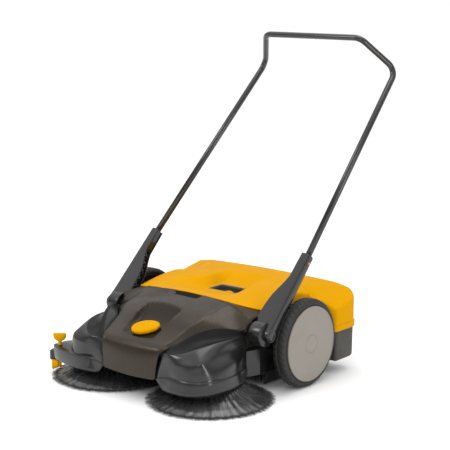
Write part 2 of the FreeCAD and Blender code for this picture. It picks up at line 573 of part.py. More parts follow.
def handle():
    along = (TUBE_BEND - TUBE_FOOT).normalize()
    foot = TUBE_FOOT - along * 66
    right = [Vector(-p.x, p.y, p.z) for p in (foot, TUBE_BEND, TUBE_TOP)]
    path = tube_path([foot, TUBE_BEND, TUBE_TOP] + right[::-1], BEND_R)

    def swept(radius):
        circle = Part.Wire(Part.makeCircle(radius, foot, along))
        return path.makePipeShell([circle], True, False)
    tube = swept(TUBE_R).cut(swept(TUBE_R - TUBE_WALL))
    hole = lean(Part.makeCylinder(3.2, 60, Vector(290, ARM_LENGTH - 26, 0), X_AXIS))
    save("handle_tube", tube.cut(fused(hole, mirrored(hole))))

    # Arm: one-piece channel, open on the inner side, with crossed ribs.
    outline = [(ARM_OUT_X, 0), (314.5, ARM_LENGTH), (286, ARM_LENGTH), (286, 196), (276, 164), (262, 128),
               (255, 92), (252, 40), (252, 0)]
    front = prism([Vector(x, a, -22) for x, a in outline], Vector(0, 0, 44))
    side_outline = [(0, -20), (40, -18), (ARM_LENGTH, -14.5), (ARM_LENGTH, 14.5), (40, 17), (0, 20)]
    side = prism([Vector(240, a, n) for a, n in side_outline], Vector(90, 0, 0))
    body = front.common(side)
    pocket_outline = [(317.5, 28), (313, 205), (283, 205), (283, 196), (273, 164), (259, 128), (250, 92),
                      (240, 40), (240, 28)]
    pocket = prism([Vector(x, a, -22) for x, a in pocket_outline], Vector(0, 0, 44))
    pocket_side = [Vector(200, a, n) for a, n in ((20, -16), (210, -12), (210, 12), (20, 14.5))]
    pocket = pocket.common(prism(pocket_side, Vector(150, 0, 0)))
    ribs = []
    for i in range(4):
        a0, a1 = 30 + i * 43.0, 30 + (i + 1) * 43.0
        x = 262 + i * 7
        for n0, n1 in ((-17, 16), (16, -17)):
            rib = [Vector(x, a0, n0), Vector(x, a0 + 2.6, n0), Vector(x, a1, n1), Vector(x, a1 - 2.6, n1)]
            ribs.append(prism(rib, Vector(60, 0, 0)))
    ribs = fused(*ribs).common(body)
    barrel = fused(cyl_x(BARREL_X0, BARREL_X1, 0, 0, BARREL_R), cyl_x(BARREL_X1 - 1, ARM_OUT_X, 0, 0, 20))
    arm = fused(body.cut(pocket), ribs, barrel)
    arm = arm.cut(cyl_x(BARREL_X0 - 1, BARREL_X1 - 3, 0, 0, 8.0 + RUN))
    arm = lean(arm)
    socket = Part.makeCylinder(TUBE_R + 0.1, 72, foot - along * 1.0, along)
    arm = arm.cut(socket)
    button_hole = lean(Part.makeCylinder(3.5, 40, Vector(300, ARM_LENGTH - 26, 0), X_AXIS))
    save_pair("handle_arm", arm.cut(button_hole))
    button = fused(cyl_x(311.5, 319.5, 0, 0, 3.0), cyl_x(302.5, 308, 0, 0, 3.0), cyl_x(306, 313, 0, 0, 3.0))
    button.translate(Vector(0, ARM_LENGTH - 26, 0))
    save_pair("snap_button", lean(button))


# ---- adjusters ----
def height_adjuster():
    tilt = Vector(0, -math.sin(math.radians(KNOB_TILT)), math.cos(math.radians(KNOB_TILT)))
    seat = Vector(0, KNOB_Y, KNOB_Z)
    sections = []
    turns = [2 * math.pi * i / 24 for i in range(24)]
    for h, a, b in ((1.0, 38, 27), (8, 40, 29), (14, 34, 24), (18, 20, 14)):
        ring = [Vector(a * math.cos(t) * (1.0 + 0.06 * math.cos(t)), b * math.sin(t), h) for t in turns]
        curve = Part.BSplineCurve()
        curve.interpolate(ring, PeriodicFlag=True)
        sections.append(Part.Wire(curve.toShape()))
    knob = Part.makeLoft(sections, True, False)
    knob.rotate(Vector(0, 0, 0), X_AXIS, KNOB_TILT)
    knob.translate(seat)
    save("height_knob", knob)
    spindle = Part.makeCylinder(5, 80, seat - tilt * 79, tilt)
    save("height_spindle", spindle)
    # Fork with the small support roller, guided in the deck.
    plates = [box(x, -180, 24, x + 3, -150, 60) for x in (-19, 16)]
    lever = box(-8, -330, 108, 8, -160, 112)
    fork = fused(box(-19, -180, 58, 19, -150, 62), cyl_z(0, -165, 60, 112, 8.6), lever, *plates)
    pin = cyl_x(-20, 20, -165, 26, 3.0)
    save("support_fork", fused(fork, pin))
    save("support_roller", cyl_x(-15, 15, -165, 26, 18.5, 3.0 + RUN))


def bristle_guide():
    save("guide_roller", cyl_z(GUIDE_X, GUIDE_Y, GUIDE_Z0 + GAP, GUIDE_Z1 - GAP, GUIDE_R, 3.5 + RUN))
    plan = [(-316, -378), (-316, -390), (-350, -386), (-368, -370), (-362, -362), (-346, -374)]
    arm = prism_z(plan, 24.5, 27.3)
    blade = prism_z([(-352, -386), (-368, -371), (-365, -368), (-350, -382)], 9, 27)
    stem = cyl_z(PRESSER_X, PRESSER_Y, 24.5, 99, 4.0).cut(cyl_z(PRESSER_X, PRESSER_Y, 80, 100, 2.2))
    save("bristle_presser", fused(arm, blade, stem))
    # Wing knob with a cupped underside, screwed on the presser's stem.
    hub = fused(cyl_z(PRESSER_X, PRESSER_Y, 99.4, 106, 7), cyl_z(PRESSER_X, PRESSER_Y, 92, 100, 2.2 - RUN))
    half_wing = [(9, 103), (20, 111), (20, 128), (12, 131)]
    corners = [Vector(PRESSER_X + x, PRESSER_Y - 4, z) for x, z in half_outline(half_wing)]
    wing = prism(corners, Vector(0, 8, 0))
    save("wing_knob", fused(hub, wing))


# ---- seals and fasteners ----
def seals_and_screws():
    side = box(SIDE_X1 + 0.2, -80, 6, SIDE_X1 + 3, 40, 55)
    back = box(-214, 47, 8, 214, 49.5, 58)
    save("dust_seals", Part.makeCompound([side, mirrored(side), back]))
    screws = []
    for x, y in ((150, -390), (240, -370), (262, -300), (60, -152), (140, -152)):
        for sign in (-1, 1):
            screws.append(cyl_z(sign * x, y, 73.0, 76.0, 4.5))
    save("deck_screws", Part.makeCompound(screws))


wheel()
stub_axle()
drive_pinion()
bevel_drive()
drive_belt()
disc_brush()
roller_brush()
base_frame()
roller_tunnel()
drive_cover()
hood_and_housings()
hopper()
handle()
height_adjuster()
bristle_guide()
seals_and_screws()
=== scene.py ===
"""Looks of the walk behind sweeper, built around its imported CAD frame. Lengths are in mm."""

import math
import random

import bmesh
import bpy
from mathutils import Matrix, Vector


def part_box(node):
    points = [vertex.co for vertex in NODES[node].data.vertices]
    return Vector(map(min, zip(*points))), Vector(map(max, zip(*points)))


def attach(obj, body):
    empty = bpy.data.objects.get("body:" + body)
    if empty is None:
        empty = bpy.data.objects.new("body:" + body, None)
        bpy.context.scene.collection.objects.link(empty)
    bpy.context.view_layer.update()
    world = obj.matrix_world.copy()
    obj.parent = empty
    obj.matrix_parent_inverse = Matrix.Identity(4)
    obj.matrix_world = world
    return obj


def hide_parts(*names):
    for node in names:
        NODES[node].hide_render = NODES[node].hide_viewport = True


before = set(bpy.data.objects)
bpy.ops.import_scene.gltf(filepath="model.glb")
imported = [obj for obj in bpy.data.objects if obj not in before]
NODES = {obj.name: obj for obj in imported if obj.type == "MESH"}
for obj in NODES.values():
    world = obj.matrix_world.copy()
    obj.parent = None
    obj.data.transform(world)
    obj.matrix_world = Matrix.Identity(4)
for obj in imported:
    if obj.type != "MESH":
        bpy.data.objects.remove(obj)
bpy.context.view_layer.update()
RNG = random.Random(7)

WHEEL_LO, WHEEL_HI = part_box("tyre_left")
AXLE_Y = (WHEEL_LO.y + WHEEL_HI.y) / 2


def V(x, y, z):
    """A point in millimetres, with y counted from the wheels' axis, as metres in the frame."""
    return Vector((x / 1000, y / 1000 + AXLE_Y, z / 1000))


def millimetres(point):
    """The x, y and z that V takes, of a point in the frame."""
    return point.x * 1000, (point.y - AXLE_Y) * 1000, point.z * 1000


def turns(count):
    """Angles of count even steps round a circle."""
    return [2 * math.pi * k / count for k in range(count)]


def rounded_square(count, power):
    """Points round a square of half-width 1 with rounded corners, rounder for a higher power."""
    out = []
    for k in range(count):
        t = 2 * math.pi * (k + 0.5) / count
        c, d = math.cos(t), math.sin(t)
        out.append((math.copysign(abs(c) ** power, c), math.copysign(abs(d) ** power, d)))
    return out


# ---- materials

def linear(colour):
    """Linear colour of an 8-bit sRGB one."""
    def one(c):
        c /= 255
        return c / 12.92 if c <= 0.04045 else ((c + 0.055) / 1.055) ** 2.4
    return [one(c) for c in colour] + [1.0]


def scaled(colour, factor):
    """The colour made lighter or darker."""
    return [min(1.0, c * factor) for c in colour[:3]] + [1.0]


def set_inputs(shader, values):
    """Sets the shader node's named inputs."""
    for key, value in values.items():
        shader.inputs[key].default_value = value


def plastic(name, colour, rough=0.4, rough_spread=0.08, grain=0.05, grain_size=0.6, tone=0.10,
            coat=0.0, specular=0.5, metallic=0.0, stretch=(1, 1, 1), tint=(1, 1, 1)):
    """Moulded plastic, rubber or metal: patchy tone, uneven gloss and a fine surface grain."""
    mat = bpy.data.materials.new(name)
    mat.use_nodes = True
    nodes, links = mat.node_tree.nodes, mat.node_tree.links
    bsdf = nodes["Principled BSDF"]
    set_inputs(bsdf, {"Metallic": metallic, "Specular IOR Level": specular, "Specular Tint": (*tint, 1),
                      "Coat Weight": coat, "Coat Roughness": 0.18})
    base = linear(colour)

    coords = nodes.new("ShaderNodeTexCoord")
    mapping = nodes.new("ShaderNodeMapping")
    mapping.inputs["Scale"].default_value = stretch
    links.new(coords.outputs["Object"], mapping.inputs["Vector"])

    cloud = nodes.new("ShaderNodeTexNoise")
    set_inputs(cloud, {"Scale": 9.0, "Detail": 5.0})
    links.new(mapping.outputs["Vector"], cloud.inputs["Vector"])
    ramp = nodes.new("ShaderNodeValToRGB")
    ramp.color_ramp.elements[0].position = 0.3
    ramp.color_ramp.elements[0].color = scaled(base, 1 - tone)
    ramp.color_ramp.elements[1].position = 0.7
    ramp.color_ramp.elements[1].color = scaled(base, 1 + tone)
    links.new(cloud.outputs["Fac"], ramp.inputs["Fac"])

    fine = nodes.new("ShaderNodeTexNoise")
    set_inputs(fine, {"Scale": 1000 / grain_size, "Detail": 2.0})
    links.new(mapping.outputs["Vector"], fine.inputs["Vector"])
    speck = nodes.new("ShaderNodeMixRGB")
    speck.blend_type = "MULTIPLY"
    speck.inputs["Fac"].default_value = 0.10
    links.new(ramp.outputs["Color"], speck.inputs["Color1"])
    speck_ramp = nodes.new("ShaderNodeValToRGB")
    speck_ramp.color_ramp.elements[0].position = 0.25
    speck_ramp.color_ramp.elements[0].color = (0.8, 0.8, 0.8, 1)
    speck_ramp.color_ramp.elements[1].position = 0.6
    links.new(fine.outputs["Fac"], speck_ramp.inputs["Fac"])
    links.new(speck_ramp.outputs["Color"], speck.inputs["Color2"])
    links.new(speck.outputs["Color"], bsdf.inputs["Base Color"])

    wear = nodes.new("ShaderNodeTexNoise")
    set_inputs(wear, {"Scale": 28.0, "Detail": 6.0})
    links.new(coords.outputs["Object"], wear.inputs["Vector"])
    gloss = nodes.new("ShaderNodeMapRange")
    set_inputs(gloss, {"From Min": 0.3, "From Max": 0.7, "To Min": max(0.03, rough - rough_spread),
                       "To Max": rough + rough_spread})
    links.new(wear.outputs["Fac"], gloss.inputs["Value"])
    links.new(gloss.outputs["Result"], bsdf.inputs["Roughness"])

    bump = nodes.new("ShaderNodeBump")
    set_inputs(bump, {"Strength": grain, "Distance": 0.0004})
    links.new(fine.outputs["Fac"], bump.inputs["Height"])
    links.new(bump.outputs["Normal"], bsdf.inputs["Normal"])
    return mat


MATS = {
    "hood_plastic": plastic("hood_plastic", (33, 27, 20), rough=0.26, grain=0.08, tone=0.05,
                            specular=0.42, tint=(1, 0.88, 0.74)),
    "charcoal_plastic": plastic("charcoal_plastic", (25, 25, 26), rough=0.21, rough_spread=0.04,
                                grain=0.05, tone=0.06, specular=0.55),
    "frame_plastic": plastic("frame_plastic", (54, 50, 45), rough=0.5, grain=0.12, tone=0.08),
    "yellow_plastic": plastic("yellow_plastic", (210, 149, 0), specular=0.015, rough=0.42, grain=0.06,
                              tone=0.03),
    "wheel_grey_plastic": plastic("wheel_grey_plastic", (134, 128, 120), rough=0.5, grain=0.12,
                                  tone=0.03),
    "rim_plastic": plastic("rim_plastic", (30, 29, 29), rough=0.5, grain=0.15),
    "tyre_rubber": plastic("tyre_rubber", (30, 29, 28), rough=0.62, grain=0.3, tone=0.1,
                           grain_size=0.9),
    "seal_rubber": plastic("seal_rubber", (34, 34, 34), rough=0.7, grain=0.3),
    # The wide tone spread makes patches of bristles lighter and darker: partly tone that differs at
    # random, partly a painted highlight for the bristles' grey glints.
    "bristle_nylon": plastic("bristle_nylon", (50, 50, 51), rough=0.24, grain=0.05, tone=0.5,
                             specular=0.9),
    "black_tube": plastic("black_tube", (16, 16, 17), rough=0.16, rough_spread=0.05, grain=0.06,
                          coat=0.5, grain_size=1.4),
    "zinc_steel": plastic("zinc_steel", (170, 172, 175), rough=0.34, metallic=1.0, grain=0.1,
                          stretch=(1, 1, 6)),
    "gear_plastic": plastic("gear_plastic", (200, 196, 186), rough=0.45, grain=0.1),
    # Darker copy of the hood plastic: painted shade for the faces down in the knob recess.
    "hood_painted_shade": plastic("hood_painted_shade", (27, 21, 15), rough=0.3, grain=0.08, tone=0.05, specular=0.25,
                          tint=(1, 0.88, 0.74)),
    # Darker, rougher copy of the charcoal plastic: painted shade, for the steep scooped faces of the
    # housings and the finger slot's wall.
    "charcoal_painted_shade": plastic("charcoal_painted_shade", (12, 9, 8), rough=0.42, grain=0.06, tone=0.05,
                              specular=0.18),
    "bearing_bronze": plastic("bearing_bronze", (150, 110, 62), rough=0.4, metallic=1.0, grain=0.15),
}

for node in NODES.values():
    cad_slot = node.material_slots[0]
    cad_slot.material = MATS[cad_slot.material.name.split(".")[0]]


# ---- mesh helpers

def smooth_line(points, count):
    """Count points evenly spaced along a smooth line through the given ones."""
    pts = [Vector(p) for p in points]
    steps = [(b - a).length for a, b in zip(pts, pts[1:])]
    knots = [0.0]
    for step in steps:
        knots.append(knots[-1] + step)
    slopes = []
    for i in range(len(pts)):
        lo, hi = max(0, i - 1), min(len(pts) - 1, i + 1)
        slopes.append((pts[hi] - pts[lo]) / (knots[hi] - knots[lo]))
    out = []
    for k in range(count):
        s = knots[-1] * k / (count - 1)
        i = max(j for j in range(len(steps)) if knots[j] <= s + 1e-9)
        h = steps[i]
        t = (s - knots[i]) / h
        t2, t3 = t * t, t * t * t
        out.append(pts[i] * (2 * t3 - 3 * t2 + 1) + slopes[i] * h * (t3 - 2 * t2 + t)
                   + pts[i + 1] * (3 * t2 - 2 * t3) + slopes[i + 1] * h * (t3 - t2))
    return out


def make_object(name, bm, slot, body, replaced=()):
    """An object from a bmesh drawn in metres, with its slot, body and the nodes it stands for."""
    bmesh.ops.remove_doubles(bm, verts=bm.verts, dist=1e-7)
    bmesh.ops.recalc_face_normals(bm, faces=bm.faces)
    mesh = bpy.data.meshes.new(name)
    bm.to_mesh(mesh)
    bm.free()
    obj = bpy.data.objects.new(name, mesh)
    bpy.context.scene.collection.objects.link(obj)
    mesh.materials.append(MATS[slot])
    mesh.polygons.foreach_set("use_smooth", [True] * len(mesh.polygons))
    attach(obj, body)
    if replaced:
        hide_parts(*replaced)
    return obj


def add_grid(bm, rows, around=False, along=False, creases=()):
    """Quads through rows of points in metres; around closes each row, along joins last to first."""
    verts = [[bm.verts.new(p) for p in row] for row in rows]
    n, m = len(verts), len(verts[0])
    for i in range(n if along else n - 1):
        for j in range(m if around else m - 1):
            a, b = verts[i], verts[(i + 1) % n]
            bm.faces.new((a[j], a[(j + 1) % m], b[(j + 1) % m], b[j]))
    if creases:
        layer = bm.edges.layers.float.get("crease_edge") or bm.edges.layers.float.new("crease_edge")
        for kind, index, amount in creases:
            line = verts[index] if kind == "row" else [row[index] for row in verts]
            for a, b in zip(line, line[1:]):
                edge = bm.edges.get((a, b))
                if edge:
                    edge[layer] = amount
    return verts


def loft(bm, rows):
    """A solid through rings of points in metres, closed by a face at each end."""
    rings = add_grid(bm, rows, around=True)
    bm.faces.new(rings[0])
    bm.faces.new(rings[-1])


def subdivide(obj, levels):
    """Smooths the mesh between its points."""
    mod = obj.modifiers.new("subdivision", "SUBSURF")
    mod.levels = mod.render_levels = levels


def thicken(obj, depth):
    """Gives a skin a wall of the depth, behind it."""
    mod = obj.modifiers.new("wall", "SOLIDIFY")
    mod.thickness = depth / 1000
    mod.offset = -1
    mod.use_even_offset = False


def ease(t):
    """A smooth step from 0 to 1."""
    t = max(0.0, min(1.0, t))
    return t * t * (3 - 2 * t)


# ---- hood

HOOD_ROWS, HOOD_COLUMNS, STRIP_COLUMNS = 160, 46, 10
LID_HALF, LIP_Y = 247, -156.5  # the lid's half-width here, and its front edge in the middle

# Lines from the hood's foot over its front to its rear edge, turned round to start at the rear.
CREST = smooth_line([(101, -418, 74), (107, -415, 120), (112, -409, 155), (116, -398, 168),
                     (125, -365, 181), (133, -322, 201), (142, -290, 217), (150, -250, 232),
                     (154, -200, 243), (158, -157, 257)], HOOD_ROWS)[::-1]
FLANK_POINTS = [(98, -410, 76), (104, -407, 118), (110, -402, 141), (121, -393, 151), (142, -360, 169),
                (153, -320, 181), (167, -286, 189), (192, -257, 193), (217, -227, 197),
                (242, -195, 198), (257, -164, 226)]
FLANK = smooth_line(FLANK_POINTS, HOOD_ROWS)[::-1]
CROWN = smooth_line([(0, -421, 70), (0, -421, 120), (0, -414, 152), (0, -402, 168), (0, -385, 178),
                     (0, -350, 197), (0, -306, 229), (0, -252, 250), (0, -200, 261),
                     (0, -157, 267)], HOOD_ROWS)[::-1]


def lid_front(x):
    """Front edge of the lid: y and z at x."""
    q = min(1.0, abs(x) / LID_HALF)
    return LIP_Y + 54.5 * q ** 3, 267 - 28 * q ** 1.9


SEAT = (-345, 190)
SEAT_TILT = 20


def seat_height(y):
    """Height of the plane that the height knob turns on."""
    return SEAT[1] + math.tan(math.radians(SEAT_TILT)) * (y - SEAT[0])


def recess_ends(x):
    """Front and rear edge of the knob recess at x."""
    return -387 + 9 * (x / 66) ** 2, -250 - 8 * (x / 66) ** 2


def recess_sides(along):
    """Left and right edge of the knob recess, from 0 at its front to 1 at its rear."""
    return -66 - 6 * along, 60 + 12 * along


def recess_lip(x, y):
    """Height of the small raised rim along the right side and the front of the knob recess."""
    front, rear = recess_ends(x)
    left, right = recess_sides(max(0.0, min(1.0, (y - front) / (rear - front))))
    side = math.exp(-((x - right - 1.5) / 3.2) ** 2)
    side *= ease((y - front + 8) / 10) * ease((rear - y) / 14)
    nose = math.exp(-((y - front + 1.5) / 3.4) ** 2)
    nose *= ease((right + 3 - x) / 6) * ease((x - left) / 12)
    return 1.5 * max(side, 0.8 * nose)


def recess_depth(x, y):
    """How far the hood's skin is pulled down to the knob's seat, 0 at the lip and 1 on the floor."""
    front, rear = recess_ends(x)
    if not front < y < rear:
        return 0.0
    left, right = recess_sides((y - front) / (rear - front))
    side = min((x - left) / 20, (right - x) / 13)
    if side <= 0:
        return 0.0
    ends = min((y - front) / 11, (rear - y) / 66)
    return (1 - (1 - min(1, side)) ** 2.4) * (1 - (1 - min(1, ends)) ** 2.2)


SLOT_MIDDLE, SLOT_HALF = 7, 54


def slot_dip(x):
    """How far the finger slot pulls the hood's rear edge down, 0 outside it and 1 in its middle."""
    return math.sqrt(max(0.0, 1 - ((x - SLOT_MIDDLE) / SLOT_HALF) ** 2))


def hood_rows():
    """Rows across the hood from its rear edge to its foot: crown, crests and the flanks past them."""
    rows = []
    for i in range(HOOD_ROWS):
        k, g, c = CREST[i], FLANK[i], CROWN[i]
        row = []
        for j in range(-HOOD_COLUMNS - STRIP_COLUMNS, HOOD_COLUMNS + STRIP_COLUMNS + 1):
            side = -1 if j < 0 else 1
            if abs(j) <= HOOD_COLUMNS:
                u = j / HOOD_COLUMNS
                q = abs(u)
                x = k.x * u
                y = c.y + (k.y - c.y) * q * q
                z = c.z + (k.z - c.z) * q ** 1.9 + 1.6 * math.exp(-((1 - q) / 0.045) ** 2)
                if y < -240 and z > 160:
                    depth = recess_depth(x, y)
                    z += (min(z, seat_height(y) - 1.5) - z) * depth + recess_lip(x, y)
            else:
                w = (abs(j) - HOOD_COLUMNS) / STRIP_COLUMNS
                bend = math.sin(w * math.pi)
                x = side * (k.x + (g.x - k.x) * w)
                y = k.y + (g.y - k.y) * w
                z = k.z + (g.z - k.z) * w + (0.4 if i > 60 else 2.5) * bend + 1.6 * (1 - w) ** 6
            z += 2.0 * (1 - ease(i / 3)) * ease((abs(x) - 95) / 40)
            y -= 10 * slot_dip(x) * max(0.0, 1 - i / 8)
            z -= 17 * slot_dip(x) * max(0.0, 1 - i / 15)
            row.append(V(x, y, z))
        rows.append(row)
    return rows


def hood_ledge(rear_edge):
    """Two rows behind the rear edge: the drop behind the ridge, and the ledge that meets the lid."""
    ledge_out, ledge_in = [], []
    for p in rear_edge:
        x = p.x * 1000
        y, z = lid_front(x)
        outer = ease((abs(x) - 110) / 60)
        ledge_in.append(Vector((p.x, p.y + 0.0014, p.z - 0.0022)))
        top = V(x, y + 4, z - 1.6)
        level = min(top.z, p.z - 0.0016)
        if slot_dip(x) > 0:
            top.y, level = V(x, y - 1.2, 0).y, z / 1000 - 0.0035
        ledge_out.append(Vector((top.x, max(top.y, p.y + 0.0016), level + (top.z - level) * outer)))
    return [ledge_out, ledge_in]


def hood_mesh():
    """Centre cover; the finger slot's wall and the knob recess are painted darker, as painted shade."""
    bm = bmesh.new()
    rows = hood_rows()
    add_grid(bm, hood_ledge(rows[0]) + rows)
    obj = make_object("hood_shell", bm, "hood_plastic", "chassis", ["hood"])
    # Two darker copies of the plastics, both painted shade: one for the finger slot's wall and one for
    # the knob recess.
    for name in ("charcoal_painted_shade", "hood_painted_shade"):
        obj.data.materials.append(MATS[name])
    for face in obj.data.polygons:
        x, y, z = millimetres(face.center)
        # The finger slot's steep, forward-facing wall takes the darker charcoal copy: painted shade.
        if y > -172 and slot_dip(x) > 0.12 and face.normal.y < -0.6:
            face.material_index = 1
        # Faces down in the knob recess take the darker hood copy: painted shade.
        elif z > 160 and recess_depth(x, y) > 0.12:
            face.material_index = 2
    thicken(obj, 2.4)


hood_mesh()

# ---- brush housings

HOUSING = [
    [(104, -398, 128), (120, -378, 142), (138, -330, 168), (160, -285, 185), (190, -255, 190),
     (222, -222, 188), (243, -190, 180)],
    [(112, -401, 147), (117, -403, 152), (135, -385, 171), (150, -365, 186), (165, -345, 200),
     (180, -324, 212), (195, -300, 219), (208, -280, 220), (220, -258, 217), (232, -235, 211),
     (242, -210, 202), (249, -185, 191)],
    [(117, -405, 147), (156, -412, 157), (176, -404, 160), (196, -390, 165), (213, -372, 173),
     (227, -350, 179), (237, -325, 183), (244, -298, 185), (248, -270, 185), (250, -242, 185),
     (250, -215, 184), (249, -190, 182)],
    [(115, -407, 138), (156, -415, 150), (182, -412, 154), (206, -399, 159), (226, -381, 166),
     (240, -354, 173), (248, -324, 178), (252, -292, 180), (252, -255, 180), (251.5, -225, 179),
     (250, -190, 177)],
    [(110, -411, 118), (156, -417, 130), (190, -418, 133), (226, -408, 138), (252, -391, 145),
     (258, -350, 153), (256, -310, 163), (254.5, -270, 168), (253, -230, 169), (251, -192, 167)],
    [(108, -413, 108), (156, -417, 119), (190, -419, 122), (229, -410, 129), (256, -391, 139),
     (260, -350, 147), (260, -310, 149), (258, -270, 150), (255, -230, 150), (252, -192, 147)],
    [(106, -414, 98), (156, -416, 108), (190, -420, 111), (231, -411, 118), (260, -388, 128),
     (272, -350, 131), (276, -310, 134), (274, -270, 133), (266, -235, 130), (251, -192, 127)],
    [(104, -415, 90), (156, -414, 99), (188, -420, 101), (236, -411, 106), (263, -389, 111),
     (279, -350, 113), (283, -310, 113), (279, -268, 112), (269, -232, 111), (251, -190, 108)],
    [(103, -416, 82), (156, -412, 93), (186, -418, 93), (217, -418, 93), (242, -408, 93),
     (264, -390, 93), (279, -364, 93), (284, -330, 93), (283, -295, 93), (275, -255, 93),
     (262, -220, 93), (248, -188, 93)],
    [(103, -417, 79), (154, -415, 89), (186, -421, 89), (218, -421, 89), (244, -411, 89),
     (266, -393, 89), (282, -366, 89), (287, -330, 89), (286, -294, 89), (278, -253, 89),
     (265, -218, 89), (250, -184, 89)],
    [(124, -413, 50), (133, -419, 50), (165, -427, 50), (200, -429, 50), (230, -424, 50),
     (258, -406, 50), (278, -378, 50), (287, -340, 50), (288, -298, 50), (281, -255, 50),
     (268, -220, 50), (250, -180, 50)],
]
HOUSING_COLUMNS = 22


def between(upper, lower, part, rise):
    """A line part of the way from one line to the next in plan, rise of the way up to the first."""
    out = []
    for a, b in zip(upper, lower):
        p = a.lerp(b, part)
        out.append(Vector((p.x, p.y, b.z + (a.z - b.z) * rise)))
    return out


def housing_mesh(side, name, node):
    """Domed cover over one disc brush: inner slope, arch, scooped face, bulge, shelf and skirt; the
    scooped face is painted darker, as painted shade.
    """
    bm = bmesh.new()
    lines = [[Vector(line[0])] + smooth_line(line[1:], HOUSING_COLUMNS) for line in HOUSING]
    arch, ridge = lines[1], lines[2]
    lines[2:2] = [between(arch, ridge, 0.14, 0.80), between(arch, ridge, 0.34, 0.22),
                  between(arch, ridge, 0.70, -0.06)]
    rows = [[V(side * p.x, p.y, p.z) for p in line] for line in lines]
    creases = [("row", 1, 0.1), ("row", 5, 0.7), ("row", 7, 0.8), ("row", 11, 0.8),
               ("row", 12, 0.5), ("column", 1, 0.5)]
    add_grid(bm, rows, creases=creases)
    columns = len(rows[0]) - 1
    obj = make_object(name, bm, "charcoal_plastic", "chassis", [node])
    obj.data.materials.append(MATS["charcoal_painted_shade"])
    # The scooped face between the arch and the ridge takes the darker charcoal copy: painted shade.
    for index, face in enumerate(obj.data.polygons):
        if 1 <= index // columns <= 4 and index % columns >= 1:
            face.material_index = 1
    subdivide(obj, 2)
    thicken(obj, 1.4)


for side, word in ((1, "left"), (-1, "right")):
    housing_mesh(side, f"brush_cover_{word}", f"brush_housing_{word}")

# ---- wheels

AXLE_Z = 132.6
TREAD_MIDDLE = 320.5
TYRE_PROFILE = [(301, 116), (299.6, 118), (299, 122), (299.4, 126), (301.2, 129.2), (304, 131.2),
                (307, 132.1), (310, 132.5), (313, 132.6), (316.4, 132.6), (316.9, 130.9),
                (320.1, 130.9), (320.6, 132.6), (324, 132.6), (328, 132.5), (331, 132.1),
                (334, 131.3), (336.4, 130.2), (338.2, 128.8), (340, 126.6), (341.2, 123.6),
                (341.8, 119.5), (342, 116.4), (341, 114.4), (338, 114), (305, 114)]
BLOCKS = 44


def tread_radius(index, x, r, t):
    """Tread blocks: slots across both shoulders, staggered from side to side, in a zigzag."""
    if not 4 <= index <= 19 or 10 <= index <= 11:
        return r
    turn = t * BLOCKS / (2 * math.pi)
    across = (x - TREAD_MIDDLE) / 22
    phase = (turn + 0.5 * (x > TREAD_MIDDLE) + 0.35 * abs(across)) % 1.0
    slot = ease((0.13 - abs(phase - 0.5)) / 0.035)
    reach = ease((abs(across) - 0.24) / 0.12) * ease((1.02 - abs(across)) / 0.1)
    return r - 2.2 * slot * reach


def tyre(side, word):
    """Tyre with two rows of tread blocks and a groove between them."""
    bm = bmesh.new()
    rows = []
    for t in turns(BLOCKS * 14):
        row = []
        for i, (x, r) in enumerate(TYRE_PROFILE):
            rr = tread_radius(i, x, r, t)
            row.append(V(side * x, rr * math.sin(t), AXLE_Z + rr * math.cos(t)))
        rows.append(row)
    add_grid(bm, rows, around=True, along=True)
    make_object(f"tread_{word}", bm, "tyre_rubber", f"wheel_{word}", [f"tyre_{word}"])


COVER_PROFILE = [(340.6, 112.4), (343.6, 112.6), (345.6, 112.2), (346.5, 111.2), (346.7, 109.8),
                 (346.2, 108.4), (344.9, 107.2), (344.4, 106), (344.3, 103), (344.4, 96), (344.9, 60),
                 (345.1, 40), (345.1, 29.4), (344.9, 28.6), (343.7, 28), (343.7, 26.9),
                 (344.9, 26.3), (345.3, 25.4), (345.6, 18), (345.7, 10), (345.7, 3), (345.7, 0.3)]


def wheel_disc(side, word):
    """Flat grey cover of the wheel, with a rounded rim and a ring groove round its cap."""
    bm = bmesh.new()
    rows = []
    for t in turns(144):
        rows.append([V(side * x, r * math.sin(t), AXLE_Z + r * math.cos(t)) for x, r in COVER_PROFILE])
    rings = add_grid(bm, rows, along=True)
    bm.faces.new([ring[-1] for ring in rings])
    obj = make_object(f"wheel_disc_{word}", bm, "wheel_grey_plastic", f"wheel_{word}",
                      [f"wheel_cover_{word}"])
    thicken(obj, 1.6)


for side, word in ((1, "left"), (-1, "right")):
    tyre(side, word)
    wheel_disc(side, word)

# ---- brushes

DISC = (193.3, -282.1)
DISC_REACH = 190.5


def strand(bm, points, radius, tip=0.4):
    """One bristle through the points in millimetres: three-sided, and thinner to its tip."""
    rings = []
    count = len(points)
    for i, p in enumerate(points):
        p = Vector(p)
        ahead = Vector(points[min(count - 1, i + 1)]) - Vector(points[max(0, i - 1)])
        ahead.normalize()
        a = ahead.cross(Vector((0, 0, 1)))
        if a.length < 1e-3:
            a = Vector((1, 0, 0))
        a.normalize()
        b = ahead.cross(a)
        r = radius * (1 - (1 - tip) * i / (count - 1))
        ring = []
        for t in turns(3):
            q = p + (a * math.cos(t) + b * math.sin(t)) * r
            ring.append(bm.verts.new(V(*q)))
        rings.append(ring)
    for lower, upper in zip(rings, rings[1:]):
        for k in range(3):
            bm.faces.new((lower[k], lower[(k + 1) % 3], upper[(k + 1) % 3], upper[k]))
    bm.faces.new(rings[0][::-1])
    bm.faces.new(rings[-1])


